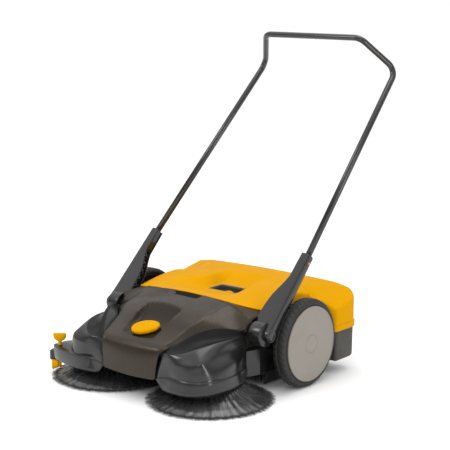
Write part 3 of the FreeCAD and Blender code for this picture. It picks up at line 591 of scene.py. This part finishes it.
def disc_bristles(side, word):
    """Tufts round the plate, each a fan of strands that leave it steeply and sweep out flat."""
    bm = bmesh.new()
    tufts = [(64, 30), (71, 38), (78, 44)]
    for ring, (r0, count) in enumerate(tufts):
        for k in range(count):
            turn = 2 * math.pi * (k + 0.33 * ring) / count
            for _ in range(26):
                spread = RNG.gauss(0, 0.5)
                a0 = turn + RNG.uniform(-1.8, 1.8) / r0
                a1 = turn + spread * 2.6 * math.pi / count
                start = r0 + RNG.uniform(-2, 2)
                reach = RNG.uniform(0.90, 1.0) if RNG.random() < 0.8 else RNG.uniform(0.78, 0.92)
                r1 = DISC_REACH * reach
                drop = RNG.uniform(0.0, 1.0)
                z1 = 1.2 + 10 * drop * (1.06 - reach) + RNG.uniform(0, 3.5)
                points = []
                for t in (0.0, 0.12, 0.35, 0.65, 1.0):
                    r = start + (r1 - start) * t
                    ang = a0 + (a1 - a0) * ease(t * 1.1)
                    top = 57.0 - 2 * ring
                    z = z1 + (top - z1) * (1 - t) ** (1.35 + 0.5 * drop)
                    points.append((side * DISC[0] + r * math.cos(ang), DISC[1] + r * math.sin(ang), z))
                strand(bm, points, RNG.uniform(0.45, 0.75))
    make_object(f"disc_strands_{word}", bm, "bristle_nylon", f"disc_brush_{word}",
                [f"brush_bristles_{word}"])


CORE_OUTLINE = [(58, 57.8), (80, 57.8), (90, 44), (108, 32), (140, 19), (168, 8.5), (172, 4.5),
                (150, 8), (120, 17), (84, 30), (58, 42)]


def disc_core(side, word):
    """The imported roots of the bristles, so that the fan isn't seen through."""
    bm = bmesh.new()
    rows = []
    for t in turns(180):
        wave = 1 + 0.010 * math.sin(t * 44) + 0.008 * math.sin(t * 30 + 1.3)
        row = []
        for i, (r, z) in enumerate(CORE_OUTLINE):
            rr = r * (wave if 2 <= i <= 8 else 1)
            row.append(V(side * DISC[0] + rr * math.cos(t), DISC[1] + rr * math.sin(t), z))
        rows.append(row)
    add_grid(bm, rows, around=True, along=True)
    make_object(f"disc_roots_{word}", bm, "bristle_nylon", f"disc_brush_{word}")


for side, word in ((1, "left"), (-1, "right")):
    disc_core(side, word)
    disc_bristles(side, word)


def roller_strands():
    """Rows of tufts wound along the roller in a shallow V."""
    bm = bmesh.new()
    centre_y, centre_z = -42.3, 90.0
    half, tufts = 213, 54
    for start in turns(10):
        for k in range(tufts):
            x = -half + 2 * half * k / (tufts - 1)
            lead = 0.9 * abs(x) / half
            for _ in range(6):
                a0 = start + lead + RNG.uniform(-0.05, 0.05)
                a1 = a0 + RNG.gauss(0, 0.10)
                x0 = x + RNG.uniform(-1.5, 1.5)
                x1 = max(-215.5, min(215.5, x + RNG.gauss(0, 4)))
                r1 = RNG.uniform(84.5, 88.0)
                points = []
                for t in (0.0, 0.5, 1.0):
                    r = 29 + (r1 - 29) * t
                    a = a0 + (a1 - a0) * t
                    points.append((x0 + (x1 - x0) * t, centre_y + r * math.cos(a),
                                   centre_z + r * math.sin(a)))
                strand(bm, points, 0.6, tip=0.7)
    make_object("roller_strands", bm, "bristle_nylon", "roller_brush", ["roller_bristles"])


roller_strands()

# ---- height knob

def knob_mesh():
    """Egg-shaped grip with fine flutes, on the seat that tilts 20 degrees forward."""
    bm = bmesh.new()
    tilt = math.radians(SEAT_TILT)
    seat = Vector((0, *SEAT))
    up = Vector((0, -math.sin(tilt), math.cos(tilt)))
    back = Vector((0, math.cos(tilt), math.sin(tilt)))
    across = Vector((1, 0, 0))
    angle = math.radians(26)
    turn = Vector((math.cos(angle), math.sin(angle)))
    levels = [(0.6, 30, 20), (0.6, 38, 26.5), (1.4, 40.5, 28.5), (4, 42, 29.8), (8.4, 42.6, 30.2),
              (11, 41.8, 29.4), (13, 39.4, 27.4), (14.3, 35.5, 24.6), (15, 30, 20.6), (15.3, 22, 15.2),
              (15.2, 12, 8.4), (15.1, 4, 3)]
    rows = []
    for h, half_x, half_y in levels:
        row = []
        for t in turns(72):
            f = 1.03 + 0.075 * math.cos(t)
            flute = 1 + 0.012 * math.cos(12 * t) * (1 if 2 < h < 13 else 0)
            u, v = half_x * f * flute * math.cos(t), half_y * flute * math.sin(t)
            p = seat + across * (u * turn.x - v * turn.y) + back * (u * turn.y + v * turn.x) + up * h
            row.append(V(*p))
        rows.append(row)
    loft(bm, rows)
    make_object("knob_grip", bm, "yellow_plastic", "height_knob", ["height_knob"])


knob_mesh()

# ---- push handle

def rounded_path(corners, radius, steps=10):
    """Corner points with each inner corner turned into an arc of the bend radius."""
    pts = [Vector(c) for c in corners]
    out = [pts[0]]
    for before, here, after in zip(pts, pts[1:], pts[2:]):
        a, b = (before - here).normalized(), (after - here).normalized()
        half = a.angle(b) / 2
        reach = radius / math.tan(half)
        centre = here + (a + b).normalized() * radius / math.sin(half)
        start, end = here + a * reach, here + b * reach
        u, v = start - centre, end - centre
        for k in range(steps + 1):
            out.append(centre + u.slerp(v, k / steps).normalized() * radius)
    out.append(pts[-1])
    return out


TUBE_RADIUS = 9.75
TUBE_BEND = 38


def tube_mesh():
    """Bent handle tube: up from each arm, in to the top bends, and across."""
    foot, bend = Vector((300.6, 38.5, 384.4)), Vector((263, 554.8, 898))
    top = Vector((188, 459, 1002))
    run = (bend - foot).normalized()
    start = foot - run * 66  # the length that sits in the arm
    mirrored = [Vector((-p.x, p.y, p.z)) for p in (top, bend, start)]
    path = rounded_path([start, bend, top] + mirrored, TUBE_BEND)
    bm = bmesh.new()
    rows = []
    side = (path[1] - path[0]).cross(Vector((0, 1, 0))).normalized()
    for i, p in enumerate(path):
        ahead = (path[min(i + 1, len(path) - 1)] - path[max(i - 1, 0)]).normalized()
        side = (side - ahead * side.dot(ahead)).normalized()
        other = ahead.cross(side)
        rows.append([V(*(p + (side * math.cos(t) + other * math.sin(t)) * TUBE_RADIUS))
                     for t in turns(28)])
    loft(bm, rows)
    make_object("push_tube", bm, "black_tube", "handle", ["handle_tube"])


tube_mesh()

# ---- hopper lid

HALF_FRONT, HALF_REAR = 240.5, 332.5  # half-width between the wheels, and behind them
SHOULDER_Y = 125  # where the lid starts to widen
OPENING_HALF, OPENING_FRONT, OPENING_REAR = 55, 3, 71
OPENING_MIDDLE = (OPENING_FRONT + OPENING_REAR) / 2
OPENING_REACH = (OPENING_REAR - OPENING_FRONT) / 2
FOOT_FRONT, FOOT_REAR = 198, 157  # where the skirt ends between the wheels, and behind them
WALL_OUT = 7.2  # how far the skirt's wall stands outside the top's edge


def crown_height(x, y):
    """Top of the lid before the grab recess is pressed in."""
    q = min(1.0, abs(x) / LID_HALF)
    y0, z0 = lid_front(x)
    z1, z2 = 270 - 9 * q * q, 265 - 5 * q * q
    if y < 60:
        t = max(0.0, (y - y0) / (60 - y0))
        z = z0 + (z1 - z0) * math.sin(t * math.pi / 2)
    else:
        t = min(1.0, (y - 60) / 200)
        z = z1 + (z2 - z1) * t * t
    t = max(0.0, min(1.0, (y - 137) / 125))
    if abs(x) < 300:
        front, back = 241 - 14 * (abs(x) - 245) / 55, 263 - 9 * (abs(x) - 245) / 55
    else:
        front, back = 227 - 22 * (abs(x) - 300) / 39, 254 - 20 * (abs(x) - 300) / 39
    wing = front + (back - front) * t
    part = ease((abs(x) - 205) / 55) * ease((y - 60) / 70)
    return z + (min(z, wing) - z) * part


def grab_depth(x, y):
    """How deep the recess round the grab opening is, in millimetres."""
    if y > 152:
        return 0.0
    along = (152 - y) / 78 if y > 74 else (1.0 if y > 0 else ease((y + 152) / 152))
    width = 30 if y > 60 else 30 + 110 * ease((60 - y) / 170)
    side = (57 + width - abs(x)) / width
    return 31 * max(0.0, min(1.0, along)) * max(0.0, min(1.0, side)) ** (1.0 if y > 60 else 1.25)


def lid_columns():
    """Places across the lid, from -1 to 1, closer together near the grab opening."""
    inner = 90
    xs = [OPENING_HALF * k / 8 for k in range(8)]
    xs += [OPENING_HALF + (inner - OPENING_HALF) * k / 9 for k in range(9)]
    xs += [inner + (HALF_FRONT - inner) * k / 18 for k in range(19)]
    us = [x / HALF_FRONT for x in xs]
    return [-u for u in us[:0:-1]] + us


def lid_top_rows():
    """Rows across the lid's top, from its front edge to its back."""
    us = lid_columns()
    rounding = [0.0, 0.004, 0.012, 0.03]
    length = SHOULDER_Y - LIP_Y
    low, high = (OPENING_FRONT - LIP_Y) / length, (OPENING_REAR - LIP_Y) / length
    parts = rounding + [rounding[-1] + (low - rounding[-1]) * k / 16 for k in range(1, 17)]
    parts += [low + (high - low) * k / 8 for k in range(1, 9)]
    parts += [high + (1 - high) * k / 8 for k in range(1, 9)]
    rows = []
    for part in parts:
        edge_drop = 2.2 if part == 0 else 0.6 if part < 0.01 else 0
        row = []
        for u in us:
            x = u * HALF_FRONT
            y0 = lid_front(x)[0]
            y = y0 + (SHOULDER_Y - y0) * part
            row.append(V(x, y, crown_height(x, y) - grab_depth(x, y) - edge_drop))
        rows.append(row)
    rear_ys = [127, 129.5, 132, 135, 138, 141.5] + [141.5 + 96.5 * k / 12 for k in range(1, 13)]
    rear_ys += [241.5, 244.8, 247.4, 249.2, 250]
    for y in rear_ys:
        half = HALF_FRONT + (HALF_REAR - HALF_FRONT) * min(1.0, (y - SHOULDER_Y) / 16.5) ** 0.8
        corner = max(0.0, (y - 214) / 36)
        half -= 34 * (1 - math.sqrt(max(0.0, 1 - corner * corner)))
        row = []
        for u in us:
            x = u * half
            row.append(V(x, y, crown_height(x, y) - grab_depth(x, y)))
        rows.append(row)
    return rows


def lid_skirt(bm, loop):
    """Side walls down from the open loop of edge vertices, ending in the rim band at the back."""
    normals = []
    for i, v in enumerate(loop):
        a, b = loop[max(0, i - 1)].co, loop[min(len(loop) - 1, i + 1)].co
        along = b - a
        normals.append(Vector((-along.y, along.x, 0)).normalized())
    shoulder = [(2.4, 0.7), (4.6, 2.8), (6.0, 6.0), (6.5, 10.5), (6.9, 24)]
    rim = [(7.0, 0), (WALL_OUT, 1.2), (9.6, 1.6), (9.8, 3.2), (9.8, 16.5), (9.2, 18.6)]
    rings = [loop]
    for out, drop in shoulder + rim:
        ring = []
        for v, n in zip(loop, normals):
            _, y, top = millimetres(v.co)
            wing = ease((y - 126) / 10)
            foot = FOOT_FRONT + (FOOT_REAR - FOOT_FRONT) * wing
            z = top - drop if (out, drop) in shoulder else foot - drop * (0.15 + 0.85 * wing)
            step = (min(out, WALL_OUT) + max(0.0, out - WALL_OUT) * wing) / 1000
            ring.append(bm.verts.new(Vector((v.co.x, v.co.y, z / 1000)) + n * step))
        rings.append(ring)
    for upper, lower in zip(rings, rings[1:]):
        for i in range(len(loop) - 1):
            bm.faces.new((upper[i], upper[i + 1], lower[i + 1], lower[i]))


def lid_mesh():
    """Yellow lid: crowned top with the pressed-in recess and its opening, skirt and rim band."""
    bm = bmesh.new()
    verts = add_grid(bm, lid_top_rows())
    loop = [row[0] for row in verts] + verts[-1][1:-1] + [row[-1] for row in reversed(verts)]
    lid_skirt(bm, loop)
    gone = []
    for face in bm.faces:
        x, y, z = millimetres(face.calc_center_median())
        if abs(x) < OPENING_HALF and OPENING_FRONT < y < OPENING_REAR and z > 200:
            gone.append(face)
    bmesh.ops.delete(bm, geom=gone, context="FACES")
    obj = make_object("lid_shell", bm, "yellow_plastic", "hopper", ["hopper_lid"])
    thicken(obj, 2.4)


def opening_ring(grow, z, count, power):
    """A ring that follows the grab opening, grown outward, at height z."""
    return [V((OPENING_HALF + grow) * c, OPENING_MIDDLE + (OPENING_REACH + grow) * d, z)
            for c, d in rounded_square(count, power)]


def grab_cup():
    """Dark pocket that hangs under the opening."""
    bm = bmesh.new()
    rings = add_grid(bm, [opening_ring(grow, z, 64, 0.16) for grow, z in (
        (-0.9, 235.4), (-1.1, 233), (-1.6, 228), (-3.0, 218), (-5.0, 208), (-9, 205))], around=True)
    bm.faces.new(rings[-1])
    obj = make_object("grab_pocket", bm, "frame_plastic", "hopper", ["grab_cup"])
    thicken(obj, -1.0)


def grab_rim():
    """Thin raised band round the opening, standing a little above the lid's skin."""
    bm = bmesh.new()
    section = ((1.9, 236.9), (1.9, 239.0), (1.5, 239.7), (0.6, 240.0), (-0.3, 239.6), (-0.7, 238.6),
               (-0.7, 235.6), (0.4, 235.2))
    add_grid(bm, [opening_ring(grow, z, 96, 0.12) for grow, z in section], around=True, along=True)
    make_object("grab_rim", bm, "wheel_grey_plastic", "hopper")


def grab_grip():
    """Curved yellow bar along the front of the pocket, where the fingers pull."""
    bm = bmesh.new()
    rows = []
    half = 52.0
    for k in range(25):
        x = -half + 2 * half * k / 24
        swell = math.exp(-((x - 14) / 27) ** 2)
        row = []
        for t in turns(20):
            y = 11.5 + 6 * swell + (6 + 6 * swell) * math.cos(t)
            z = 225 + 9.0 * swell + 3.6 * math.sin(t)
            row.append(V(x, y, z))
        rows.append(row)
    loft(bm, rows)
    make_object("grab_bar", bm, "yellow_plastic", "hopper", ["hopper_grip"])


lid_mesh()
grab_cup()
grab_rim()
grab_grip()

# ---- hopper tub

def arc(cx, cy, radius, start, end, steps=8):
    """Points of an arc in plan, angles in degrees."""
    out = []
    for k in range(steps + 1):
        t = math.radians(start + (end - start) * k / steps)
        out.append((cx + radius * math.cos(t), cy + radius * math.sin(t)))
    return out


def inset_loop(loop, depth):
    """A closed plan outline moved inward by depth along its corner normals."""
    out = []
    n = len(loop)
    for i, (x, y) in enumerate(loop):
        a, b = Vector(loop[i - 1]), Vector(loop[(i + 1) % n])
        along = (b - a).normalized()
        out.append((x - along.y * depth, y + along.x * depth))
    return out


def tub_mesh():
    """Dirt bin: wide at the back, narrow between the wheels, open on top and towards the roller."""
    right = [(218, 57)] + [(218, 100), (218, 136)] + arc(225, 136, 7, 180, 90, 3)
    right += [(280, 143)] + arc(323, 155, 12, -90, 0, 4) + [(335, 200)] + arc(303, 220, 32, 0, 90, 10)
    plan = right + [(150, 252), (0, 252)]
    plan += [(-x, y) for x, y in reversed(right + [(150, 252)])]
    bm = bmesh.new()
    rows = []
    for depth, z in ((0, 139), (0, 134), (0.6, 100), (1.2, 58), (1.6, 50), (3, 45.4), (5.4, 42),
                     (8.6, 40.4), (13, 40.0)):
        row = []
        for x, y in inset_loop(plan, depth):
            front = y < 60 + depth + 1 and abs(x) < 240
            height = min(z, 70) if front and z > 70 else z
            row.append(V(x, y, height))
        rows.append(row)
    rings = add_grid(bm, rows, around=True)
    bm.faces.new(rings[-1])
    obj = make_object("tub_shell", bm, "frame_plastic", "hopper", ["hopper_tub"])
    thicken(obj, 3)


def throat_roof():
    """Plate over the way from the roller brush into the bin."""
    bm = bmesh.new()
    add_grid(bm, [[V(-218, y, z - 6), V(-214, y, z - 1), V(-205, y, z), V(0, y, z + 1), V(205, y, z),
                   V(214, y, z - 1), V(218, y, z - 6)]
                  for y, z in ((-96, 190), (-60, 200), (0, 210), (70, 214), (140, 214))])
    obj = make_object("throat_roof", bm, "frame_plastic", "hopper")
    thicken(obj, 2.5)


tub_mesh()
throat_roof()

# ---- handle arms

PIVOT = (-160.7, 186.6)
ARM_INNER = [(-20, 254), (0, 252), (40, 252), (66, 253), (92, 255), (110, 258), (128, 262), (146, 268.5),
             (164, 276), (180, 281.5), (196, 286), (240, 286), (281, 286)]
ARM_LENGTH = 281


def arm_point(side, x, a, n):
    """A point of an arm: a along it from the pivot, n out of its front face."""
    lean = math.sqrt(0.5)
    return V(side * x, PIVOT[0] + lean * (a - n), PIVOT[1] + lean * (a + n))


def inner_edge(a):
    """Inner side of the arm at a."""
    pts = ARM_INNER
    if a <= pts[0][0]:
        return pts[0][1]
    for (a0, x0), (a1, x1) in zip(pts, pts[1:]):
        if a <= a1:
            return x0 + (x1 - x0) * (a - a0) / (a1 - a0)
    return pts[-1][1]


def outer_edge(a):
    """Outer side of the arm at a."""
    return 321.5 - 7 * max(0.0, a) / ARM_LENGTH


def depth_at(a):
    """Back and front of the arm at a."""
    if a < 0:
        h = 20 * math.sqrt(max(0.0, 1 - (a / 20) ** 2))
        return -h, h
    if a < 40:
        return -20 + 2 * a / 40, 20 - 3 * a / 40
    return -18 + 3.5 * (a - 40) / 241, 17 - 2.5 * (a - 40) / 241


def bar(bm, ends, half_thick, x_low, x_high, side):
    """A rib between two (a, n) ends, from x_low to x_high."""
    (a0, n0), (a1, n1) = ends
    length = math.hypot(a1 - a0, n1 - n0)
    da, dn = -(n1 - n0) / length * half_thick, (a1 - a0) / length * half_thick
    rows = []
    for a, n, x in ((a0, n0, x_low[0]), (a1, n1, x_low[1])):
        rows.append([arm_point(side, x, a + da, n + dn), arm_point(side, x_high, a + da, n + dn),
                     arm_point(side, x_high, a - da, n - dn), arm_point(side, x, a - da, n - dn)])
    loft(bm, rows)


def round_x(bm, side, profile, count=64):
    """A round boss about the pivot axis, from (x, r) points, closed at both ends."""
    rows = []
    for x, r in profile:
        rows.append([V(side * x, PIVOT[0] + r * math.cos(t), PIVOT[1] + r * math.sin(t))
                     for t in turns(count)])
    loft(bm, rows)


def channel(bm, side):
    """Smooth front, outer and back walls of the arm, open on the inner side."""
    wall = 3.2
    stations = [-19.8, -18.5, -16, -12, -7, 0, 10, 25, 40, 60, 80, 92, 104, 116, 128, 140, 152, 164, 176,
                188, 196, 206, 236, 262, 276, 279.6, ARM_LENGTH]
    rows = []
    for a in stations:
        xi, xo = inner_edge(a), outer_edge(a)
        nb, nf = depth_at(a)
        r = min(6.0, (nf - nb) / 3)
        t = min(wall, (nf - nb) / 3.2)
        section = [(xi, nf - t * 0.5), (xi + 0.4, nf - 0.8), (xi + 1.6, nf - 0.1), (xi + 3, nf)]
        section += [(xo - r, nf), (xo - r * 0.55, nf - r * 0.1), (xo - r * 0.2, nf - r * 0.36),
                    (xo, nf - r)]
        section += [(xo, nb + r), (xo - r * 0.2, nb + r * 0.36), (xo - r * 0.55, nb + r * 0.1),
                    (xo - r, nb)]
        section += [(xi + 1.2, nb), (xi + 0.2, nb + 0.8), (xi, nb + t - 0.3), (xi + 0.8, nb + t)]
        section += [(xo - wall - 1.5, nb + t), (xo - wall, nb + t + 1.0), (xo - wall, nf - t - 1.0),
                    (xo - wall - 1.5, nf - t), (xi + 0.8, nf - t)]
        rows.append([arm_point(side, x, a, n) for x, n in section])
    loft(bm, rows)


def crossed_ribs(bm, side):
    """Cells of two crossed ribs and a straight one, in the arm's channel."""
    cells = range(30, 199, 28)
    for a0, a1 in zip(cells, cells[1:]):
        b0, f0 = depth_at(a0)
        b1, f1 = depth_at(a1)
        lows = (inner_edge(a0) + 2.5, inner_edge(a1) + 2.5)
        high = outer_edge(a1) - 2
        bar(bm, ((a0, b0 + 2), (a1, f1 - 2)), 0.9, lows, high, side)
        bar(bm, ((a0, f0 - 2), (a1, b1 + 2)), 0.9, lows, high, side)
        bar(bm, ((a1, b1 + 2), (a1, f1 - 2)), 0.9, (lows[1], lows[1]), high, side)


def tube_socket(bm, side):
    """Solid end of the channel that holds the handle tube."""
    rows = []
    for a, shrink in ((200, 2.4), (240, 2.4), (277, 2.4), (280, 2.8)):
        xi, xo = inner_edge(a) + shrink, outer_edge(a) - shrink
        nb, nf = depth_at(a)
        cx, cn, hx, hn = (xi + xo) / 2, (nb + nf) / 2, (xo - xi) / 2, (nf - nb) / 2 - shrink
        rows.append([arm_point(side, cx + hx * c, a, cn + hn * d) for c, d in rounded_square(40, 0.35)])
    loft(bm, rows)


def outer_pad(bm, side):
    """Long raised pad with round ends on the arm's outer side."""
    rows = []
    for x, grow in ((318.4, 0), (320.3, 0), (320.9, -0.5), (321.2, -1.4)):
        row = []
        for t in turns(40):
            c, d = math.cos(t), math.sin(t)
            a = (150 if c > 0 else 62) + (8.5 + grow) * c
            row.append(arm_point(side, x - 7 * max(0.0, a) / ARM_LENGTH, a, -1 + (8.5 + grow) * d))
        rows.append(row)
    loft(bm, rows)


def arm_mesh(side, word):
    """Channel arm with crossed ribs inside, pivot barrel and collar."""
    bm = bmesh.new()
    channel(bm, side)
    crossed_ribs(bm, side)
    tube_socket(bm, side)
    barrel = ((262, 33), (262, 34.6), (263.2, 35.7), (264.6, 36), (300, 36), (302, 35.4), (303, 34))
    collar = ((299, 18.6), (320.2, 19.8), (321.2, 19.2), (321.5, 18), (321.5, 13.4), (320.9, 13),
              (320.9, 9))
    round_x(bm, side, barrel)
    round_x(bm, side, collar, 48)
    outer_pad(bm, side)
    make_object(f"arm_{word}", bm, "charcoal_plastic", "handle", [f"handle_arm_{word}"])


for side, word in ((1, "left"), (-1, "right")):
    arm_mesh(side, word)

# ---- corner bracket

def prism(bm, plan, low, high, lip):
    """A plate with rounded rims from a plan outline that runs anticlockwise."""
    rows = []
    for depth, z in ((lip, low), (lip * 0.3, low + lip * 0.3), (0, low + lip), (0, high - lip),
                     (lip * 0.3, high - lip * 0.3), (lip, high)):
        rows.append([V(x, y, z) for x, y in inset_loop(plan, depth)])
    loft(bm, rows)


def bracket_mesh():
    """Plate that carries the guide roller and the presser at the driver's right front corner."""
    bm = bmesh.new()
    plan = [(-343, -337)] + arc(-333, -381, 12, 180, 255, 5)
    plan += [(-318, -404), (-290, -412), (-250, -421), (-205, -428.5), (-176, -428), (-158, -422),
             (-150, -395), (-200, -310), (-270, -290), (-300, -294), (-325, -307)]
    prism(bm, plan, 50.5, 92, 2.4)
    ear = [(-329, -370), (-338, -364)] + arc(-358, -374, 9, 60, 230, 8) + [(-345, -388), (-331, -388)]
    prism(bm, ear, 66.2, 70, 0.8)
    prism(bm, ear, 36, 39.8, 0.8)
    prism(bm, arc(-336, -376, 5, 0, 330, 11), 38, 54, 0.6)
    make_object("corner_plate", bm, "charcoal_plastic", "chassis", ["corner_bracket"])


bracket_mesh()


def wing_knob_mesh():
    """Butterfly knob: a round collar and two flat wings with a dip between them."""
    bm = bmesh.new()
    turn = math.radians(36)
    rows = []
    for z, half_x, half_y in ((92.2, 6.6, 6.6), (97, 6.6, 6.6), (98.6, 5, 5), (104, 5, 5),
                              (106.5, 8.5, 5.6), (109.5, 14, 6), (114, 18, 6.2), (120, 19.8, 6),
                              (126, 20, 5.6), (129.4, 19.2, 4.6), (130.6, 17.4, 3.0)):
        row = []
        for c, d in rounded_square(48, 0.7):
            u, v = half_x * c, half_y * d
            dip = 4.5 * (1 - min(1.0, abs(u) / 16)) ** 1.3 * ease((z - 110) / 18)
            row.append(V(-320 + u * math.cos(turn) - v * math.sin(turn),
                         -384 + u * math.sin(turn) + v * math.cos(turn), z - dip))
        rows.append(row)
    loft(bm, rows)
    make_object("wing_grip", bm, "yellow_plastic", "wing_knob", ["wing_knob"])


def presser_foot():
    """Wedge under the corner plate that pushes the bristles down."""
    bm = bmesh.new()
    front, back, top = -391.5, -382.5, 42.2
    rows = []
    for x, low, end in ((-351, 15.5, 1.2), (-350, 14.5, 0), (-347, 14.2, 0), (-335, 17, 0),
                        (-325, 22, 0), (-323, 24, 0), (-322, 26, 1.2)):
        rows.append([V(x, front + end, low + end), V(x, front + end, top - 0.6 - end),
                     V(x, front + 0.7 + end, top - end), V(x, back - 0.7 - end, top - end),
                     V(x, back - end, top - 0.6 - end), V(x, back - end, low + end)])
    loft(bm, rows)
    make_object("presser_foot", bm, "yellow_plastic", "bristle_presser")


wing_knob_mesh()
presser_foot()

# ---- studio

def studio_floor():
    """Pale floor, 140 m across, so that its edge is never in view."""
    bm = bmesh.new()
    ends = (-70, 0, 70)
    add_grid(bm, [[Vector((x, y, 0.0)) for x in ends] for y in ends])
    mesh = bpy.data.meshes.new("floor")
    bm.to_mesh(mesh)
    bm.free()
    floor = bpy.data.objects.new("floor", mesh)
    bpy.context.scene.collection.objects.link(floor)
    mat = bpy.data.materials.new("floor_white")
    mat.use_nodes = True
    set_inputs(mat.node_tree.nodes["Principled BSDF"],
               {"Base Color": (0.96, 0.96, 0.96, 1), "Roughness": 0.9, "Specular IOR Level": 0.1})
    mesh.materials.append(mat)


def sky():
    """White overhead and pale at the horizon, with a darker band between that models the shapes."""
    world = bpy.data.worlds.new("studio")
    world.use_nodes = True
    background = world.node_tree.nodes["Background"]
    background.inputs["Strength"].default_value = 1.3
    tree = world.node_tree
    coords = tree.nodes.new("ShaderNodeTexCoord")
    split = tree.nodes.new("ShaderNodeSeparateXYZ")
    ramp = tree.nodes.new("ShaderNodeValToRGB")
    for position, value in ((0.05, 0.77), (0.14, 0.24)):
        stop = ramp.color_ramp.elements.new(position)
        stop.color = (value, value, value, 1)
    ramp.color_ramp.elements[0].color = (0.77, 0.77, 0.77, 1)
    ramp.color_ramp.elements[-1].position = 0.75
    ramp.color_ramp.elements[-1].color = (1, 1, 1, 1)
    tree.links.new(coords.outputs["Generated"], split.inputs["Vector"])
    tree.links.new(split.outputs["Z"], ramp.inputs["Fac"])
    tree.links.new(ramp.outputs["Color"], background.inputs["Color"])
    bpy.context.scene.world = world


def lamps():
    """Key softbox at the driver's front right, a wide one overhead, two narrow ones near the camera."""
    for name, place, target, size, power in (
            ("key", (-1.6, -2.6, 2.8), (0, 0, 0.2), (1.2, 1.2), 30),
            ("top", (0.2, 0.3, 3.2), (0, 0, 0), (1.8, 1.8), 20),
            ("side", (3.3, -0.9, 1.0), (0.25, -0.3, 0.12), (0.5, 1.8), 19),
            ("front", (1.9, -2.8, 2.0), (0.1, -0.25, 0.15), (0.35, 1.3), 5)):
        light = bpy.data.lights.new(name, "AREA")
        light.shape = "RECTANGLE"
        light.size, light.size_y = size
        light.energy = power
        lamp = bpy.data.objects.new(name, light)
        lamp.location = place
        lamp.rotation_euler = (Vector(place) - Vector(target)).to_track_quat("Z", "Y").to_euler()
        lamp.visible_camera = False
        bpy.context.scene.collection.objects.link(lamp)


def camera():
    """Camera at the photo's viewing angle."""
    azimuth, elevation = math.radians(39.639), math.radians(11.022)
    data = bpy.data.cameras.new("camera")
    data.lens = 106.98
    data.sensor_width = 36
    data.clip_end = 300
    obj = bpy.data.objects.new("camera", data)
    obj.location = (2.5726, -3.1266, 1.2293)
    back = Vector((math.sin(azimuth) * math.cos(elevation), -math.cos(azimuth) * math.cos(elevation),
                   math.sin(elevation)))
    obj.rotation_euler = (-back).to_track_quat("-Z", "Y").to_euler()
    bpy.context.scene.collection.objects.link(obj)
    bpy.context.scene.camera = obj


studio_floor()
sky()
lamps()
camera()
bpy.context.scene.view_settings.view_transform = "Standard"
